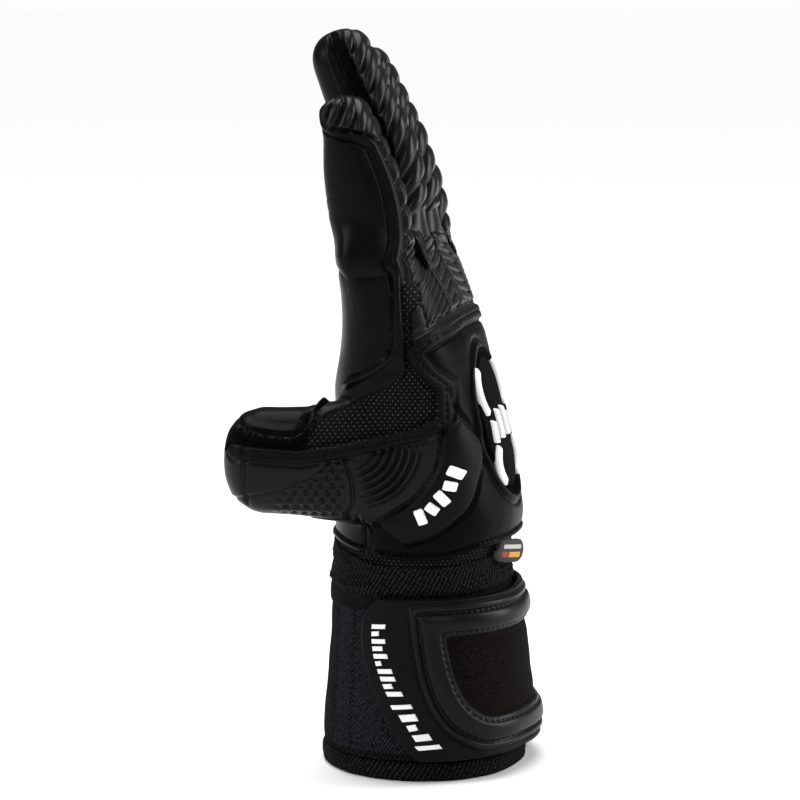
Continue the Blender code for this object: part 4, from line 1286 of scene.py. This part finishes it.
def strap_piece(name, low, high, blend_from, blend_to, nodes):
    """Part of the strap between two angles; no low angle makes it end at the tab's curved end."""
    columns = int((high - (low if low is not None else -112)) * ARC / STRAP_CELL)
    rows = int((STRAP_TOP - STRAP_BOTTOM) / STRAP_CELL)
    height = np.linspace(STRAP_BOTTOM, STRAP_TOP, rows)[:, None]
    start = between(TAB_END, height)[0] if low is None else low
    share = np.linspace(0, 1, columns)[None]
    angle = start + (high - start) * share
    angle, height = np.broadcast_arrays(angle, height)
    relief, distance = strap_face(angle, height)
    edge = np.minimum(height - STRAP_BOTTOM, STRAP_TOP - height)
    if low is None:
        edge = np.minimum(edge, (angle - start) * ARC * 0.8)
    if high > STRAP_HINGE:
        edge = np.minimum(edge, (high - angle) * ARC)
    rounding = 0.8 * round_off(edge, 1.1) - 0.8
    sewn = sum(stitches(height, (angle - SEWN_END + back) * ARC, 0.5) for back in (4, 9))
    offset = STRAP_OUTER + relief + rounding + sewn + 0.10 * uneven(31, angle, height, 22)
    foot = 2.9 if high > STRAP_HINGE else STRAP_INNER
    inner = np.where(angle > STRAP_HINGE + 12, foot, STRAP_INNER)
    made = cuff_slab(name, "rubber", angle, height, offset, inner)
    made.data.materials.append(MATERIALS["window"])
    made.data.materials.append(MATERIALS["strap_flat"])
    where = np.zeros(len(made.data.polygons), np.int32)
    cells = distance[:-1, :-1].ravel()
    where[: len(cells)] = np.where(cells < 0.15, 1, np.where(cells > PIPING + 1.4, 2, 0))
    made.data.polygons.foreach_set("material_index", where)
    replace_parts(made, *nodes)
    middle = (STRAP_BOTTOM + STRAP_TOP) / 2
    start, end = (form_point(a, middle, STRAP_OUTER) for a in (blend_from, blend_to))
    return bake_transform(made)


def build_strap():
    nodes = ("strap_sewn_end", "strap_band", "strap_window_back")
    strap_piece("strap_band_moulded", STRAP_SPLIT, SEWN_END, 74, 46, nodes)
    nodes = ("strap_tab", "strap_window_tab")
    strap_piece("strap_tab_moulded", None, STRAP_SPLIT, -16, -44, nodes)

    def hook_face(angle, height):
        return 4.62 + round_edges(height, 16, 64, 0.6, 0.3)

    made = ring("strap_hooks", "loops", (16, 64), hook_face, 3.95, (-88, -46), 150)
    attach(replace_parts(made, "strap_hook_patch"), "strap_free_end")


# ---------------------------------------------------------------- printed and raised marks
def mark_on_strap(name, low, high, left, right, slant):
    """A raised white bar on the tab. left and right are distances from its curved end."""
    share = np.linspace(0, 1, 24)[:, None]
    across = np.linspace(0, 1, 14)[None]
    height = low + (high - low) * share + slant * across
    reach = left + (right - left) * across
    angle = between(TAB_END, height)[0] + reach / ARC
    to_ends, to_sides = np.minimum(share, 1 - share), np.minimum(across, 1 - across)
    edge = np.minimum(to_ends * (high - low), to_sides * (right - left))
    offset = STRAP_OUTER + 0.10 + 0.22 * np.sqrt(np.clip(edge / 0.3, 0, 1))
    inner = STRAP_OUTER - 0.3
    made = cuff_slab(name, "white", angle, height, offset, inner)
    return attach(made, "strap_free_end")


# Bars up the strap's tab: how far each runs across it
STRAP_BARS = (3.2, 2.0, 3.2, 3.2, 1.4, 3.2, 2.4, 3.2, 1.8, 3.2)
BAR_LEFT, BARS_FROM, BARS_TO, BAR_SHARE, BAR_SCALE = 5.0, 33.5, 61.5, 0.62, 1.7
# Blocks at the tab's foot: bottom, top, and from and to across it
STRAP_BLOCKS = [(28.6, 30.2, 4.6, 11.6), (13.2, 14.8, 4.6, 13.6), (16.6, 19.0, 6.2, 12.4)]
STRAP_BLOCKS += [(20.4, 22.6, 6.2, 9.6), (24.0, 26.6, 5.6, 11.4)]


def build_strap_marks():
    step = (BARS_TO - BARS_FROM) / len(STRAP_BARS)
    for k, bar in enumerate(STRAP_BARS):
        low = BARS_FROM + k * step
        reach = (low, low + step * BAR_SHARE, BAR_LEFT, BAR_LEFT + BAR_SCALE * bar)
        made = mark_on_strap(f"tab_bar_{k + 1}", *reach, 0.4)
        if k == 0:
            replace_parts(made, "tab_mark_stripe")
    for k, reach in enumerate(STRAP_BLOCKS):
        made = mark_on_strap(f"tab_block_{k + 1}", *reach, 0.7)
        if k == 0:
            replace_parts(made, "tab_mark_block")


def raised_mark(name, places, half, body_point, height, steps=28):
    """A rounded white bar along a line of places; body_point(place, offset) is on the surface."""
    line = smooth_curve(places, steps // (len(places) - 1))
    along = np.gradient(line, axis=0)
    along /= np.linalg.norm(along, axis=1)[:, None]
    side = np.stack((-along[:, 1], along[:, 0]), 1)
    run = np.append(0, np.cumsum(np.linalg.norm(np.diff(line, axis=0), axis=1)))
    end = np.minimum(run, run[-1] - run)
    corner = min(1.2, half * 0.7)
    narrow = 1 - 0.35 * (1 - round_off(end, corner))
    across = np.linspace(-1, 1, 15)
    places = line[:, None] + side[:, None] * (across[None, :, None] * (half * narrow)[:, None, None])
    edge = np.minimum(half * (1 - np.abs(across))[None], end[:, None])
    lift = height * round_off(edge, 0.7)
    outer = body_point(places, lift)
    inner = body_point(places, np.full(lift.shape, -1.2))
    facing = np.cross(outer[0, -1] - outer[0, 0], outer[-1, 0] - outer[0, 0])
    if facing @ (outer[0, 0] - inner[0, 0]) < 0:
        outer, inner, places = outer[:, ::-1], inner[:, ::-1], places[:, ::-1]
    made = slab(name, outer, inner, places)
    dress(made, "white")
    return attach(made, "hand")


def on_thumb_side(places, lift):
    """Points on the form's thumb-side face at places (X, Z), lifted off it."""
    x, z = places[..., 0], places[..., 1]
    centre, half_x, half_y, square = between(FORM_STATIONS, z)
    offset = OUTSIDE + CRESCENT_LIFT + lift
    share = np.minimum(np.abs(x - centre) / (half_x + offset), 1)
    return np.stack((x, -(half_y + offset) * (1 - share**square) ** (1 / square), z), -1)


def on_back(places, lift):
    """Points on the form's back face at places (Y, Z), lifted off it."""
    y, z = places[..., 0], places[..., 1]
    centre, half_x, half_y, square = between(FORM_STATIONS, z)
    offset = OUTSIDE + BADGE_LIFT + lift
    share = np.minimum(np.abs(y) / (half_y + offset), 1)
    return np.stack((centre + (half_x + offset) * (1 - share**square) ** (1 / square), y, z), -1)


CRESCENT_LIFT, BADGE_LIFT = 2.2, 1.5
MARK_CENTRE, MARK_RADIUS = (-8.0, 128.0), 29.0  # circle along the crescent's marks, in X and Z
CRESCENT_MARKS, MARK_FIRST, MARK_STEP, MARK_LEAN = 5, -16, -10.6, 1.2
# One side's arcs on the badge: distance across to their middle, how far they bow inwards and
# how sharply, height of their middle, how far they rise, and their shares from end to end
BADGE_ARCS = {
    "badge_arc_upper": (19, 3.5, 2.2, 13, 9, (-0.9, -0.3, 0.4, 1.0)),
    "badge_arc_lower": (17, 4.5, 2.0, -14, -8, (-0.8, -0.2, 0.4, 1.0)),
}
# The badge's middle blocks: distance across, height, half-length
BADGE_BLOCKS = ((-14.5, -2, 4.2), (-5.5, 0, 5.6), (4.5, 0, 5.6), (14.5, -2, 4.2))


def badge_arcs(side, ending):
    """The two arcs at one side of the badge."""
    made = []
    for name, (reach, bow, power, middle, rise, shares) in BADGE_ARCS.items():
        line = [(side * (reach - bow * abs(t) ** power), BADGE_Z + middle + rise * t) for t in shares]
        made.append(raised_mark(name + ending, line, 1.9, on_back, 1.1, 60))
    return made


def build_marks():
    for k in range(CRESCENT_MARKS):
        turn = math.radians(MARK_FIRST + MARK_STEP * k)
        lean = math.radians(MARK_LEAN if k % 2 else -MARK_LEAN)
        half = 2.5 if k % 2 else 3.1
        places = []
        for out in (-half, 0, half):
            radius, at = MARK_RADIUS + out, turn + lean * out / 3
            x, z = MARK_CENTRE[0] + radius * math.cos(at), MARK_CENTRE[1] + radius * math.sin(at)
            places.append((x, z))
        made = raised_mark(f"crescent_block_{k + 1}", places, 2.0, on_thumb_side, 1.3)
        if k < 3:
            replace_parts(made, f"crescent_mark_{k + 1}")
    upper, lower = badge_arcs(-1, "")
    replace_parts(upper, "badge_bar_upper")
    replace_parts(lower, "badge_bar_lower")
    for k, (y, z, length) in enumerate(BADGE_BLOCKS):
        places = [(y + 0.8 * end, BADGE_Z + z + length * end) for end in (-1, 0, 1)]
        made = raised_mark(f"badge_block_{k + 1}", places, 2.0, on_back, 1.1, 30)
        if k == 0:
            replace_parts(made, "badge_bar_middle")
    badge_arcs(1, "_far")


LABEL_SIZE = (20.0, 9.0)


def build_label():
    """A folded woven tab at the hem, with plain coloured blocks."""
    u = np.linspace(0, 1, 60)[None]
    v = np.linspace(0, 1, 36)[:, None]
    rounding = (1 - np.abs(2 * u - 1) ** 5) ** 0.4
    angle = -28 + 25 * u + 2 * v
    height = 86.6 + 9.2 * (v - 0.5) * rounding - 3.0 * u
    curl = OUTSIDE + 0.6 + 3.6 * u + 0.8 * np.sin(math.pi * v)
    edge = np.minimum(np.minimum(u, 1 - u) * LABEL_SIZE[0], np.minimum(v, 1 - v) * LABEL_SIZE[1])
    puff = 0.5 * np.sqrt(np.clip(edge / 1.2, 0, 1))
    angle, height, curl = np.broadcast_arrays(angle, height, curl)
    outer = form_point(angle, height, curl + puff)
    inner = form_point(angle, height, curl - 0.6)
    uv = np.broadcast_arrays(u, v)
    made = slab("label_tab_woven", outer, inner, np.stack(uv, -1) * np.array(LABEL_SIZE))
    dress(made, "label")
    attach(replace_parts(made, "label_tab"), "hand")


build_cuff()
build_strap()
build_strap_marks()
for lining in ("cuff_lining", "hand_lining"):
    cloth = bpy.data.objects[lining].data.materials
    cloth.clear()
    cloth.append(MATERIALS["lining"])
build_marks()
build_label()


# ---------------------------------------------------------------- camera, light and floor
CAMERA_AZIMUTH, CAMERA_ELEVATION, CAMERA_DISTANCE = 12.5, 8.0, 1.1
CAMERA_TARGET = Vector((0.0027, 0.0, 0.1415))
CAMERA_LENS = 127.9
AMBIENT = 0.06  # how strongly the white surroundings light the glove
MIRRORED = 0.2  # and how bright they are in its glossy edges
SHOWN = 0.98  # and how bright they show behind it
SUN = 3.45  # strength of the wide light overhead
GLOVE_MIDDLE = Vector((0, 0, 0.14))
# Soft boxes: name, place, size, power
SOFT_BOXES = (
    ("key_left", (-1.3, -0.9, 1.0), (0.7, 1.2), 20),
    ("rim_right", (1.3, 0.5, 0.7), (0.5, 1.2), 22),
    ("front_soft", (0.9, -1.5, 1.2), (0.8, 0.8), 9),
    ("top_soft", (0.0, -0.2, 1.6), (0.8, 0.8), 4),
)
FLOOR_REACH, FLOOR_DROP = 60.0, 0.0002


def build_camera():
    data = bpy.data.cameras.new("camera")
    made = add_object("camera", data)
    a, e = math.radians(CAMERA_AZIMUTH), math.radians(CAMERA_ELEVATION)
    back = Vector((math.sin(a) * math.cos(e), -math.cos(a) * math.cos(e), math.sin(e)))
    made.location = CAMERA_TARGET + back * CAMERA_DISTANCE
    made.rotation_mode = "QUATERNION"
    made.rotation_quaternion = back.to_track_quat("Z", "Y")
    data.sensor_width = 36
    data.lens = CAMERA_LENS
    data.clip_start, data.clip_end = 0.05, 200
    bpy.context.scene.camera = made


def area_light(name, place, size, power):
    data = bpy.data.lights.new(name, "AREA")
    data.shape = "RECTANGLE"
    data.size, data.size_y = size
    data.energy = power
    made = add_object(name, data)
    made.location = place
    aim = GLOVE_MIDDLE - Vector(place)
    made.rotation_mode = "QUATERNION"
    made.rotation_quaternion = aim.to_track_quat("-Z", "Y")


def build_studio():
    surroundings = bpy.data.worlds.new("studio")
    surroundings.use_nodes = True
    tree = surroundings.node_tree
    background = tree.nodes["Background"]
    background.inputs["Color"].default_value = (1, 1, 1, 1)
    # the backdrop shows white, and lights the glove less than it shows
    path = tree.nodes.new("ShaderNodeLightPath")
    seen = Number(path.outputs["Is Camera Ray"]) * (SHOWN - AMBIENT)
    mirrored = Number(path.outputs["Is Glossy Ray"]) * (MIRRORED - AMBIENT)
    tree.links.new((seen + mirrored + AMBIENT).socket, background.inputs["Strength"])
    bpy.context.scene.world = surroundings
    bpy.context.scene.view_settings.view_transform = "Standard"
    for box in SOFT_BOXES:
        area_light(*box)
    light = bpy.data.lights.new("overhead", "SUN")
    light.energy = SUN
    light.angle = math.radians(50)
    lamp = add_object("overhead", light)
    lamp.rotation_euler = (math.radians(-12), math.radians(-8), 0)
    mesh = bpy.data.meshes.new("floor")
    turns = ((-1, -1), (1, -1), (1, 1), (-1, 1))
    corners = [(x * FLOOR_REACH, y * FLOOR_REACH, 0) for x, y in turns]
    mesh.from_pydata(corners, [], [(0, 1, 2, 3)])
    floor = add_object("floor", mesh)
    floor.location.z = -FLOOR_DROP
    made, _ = principled("floor_pale", (0.86, 0.86, 0.86), 0.9, 0.0)
    mesh.materials.append(made)


build_camera()
build_studio()
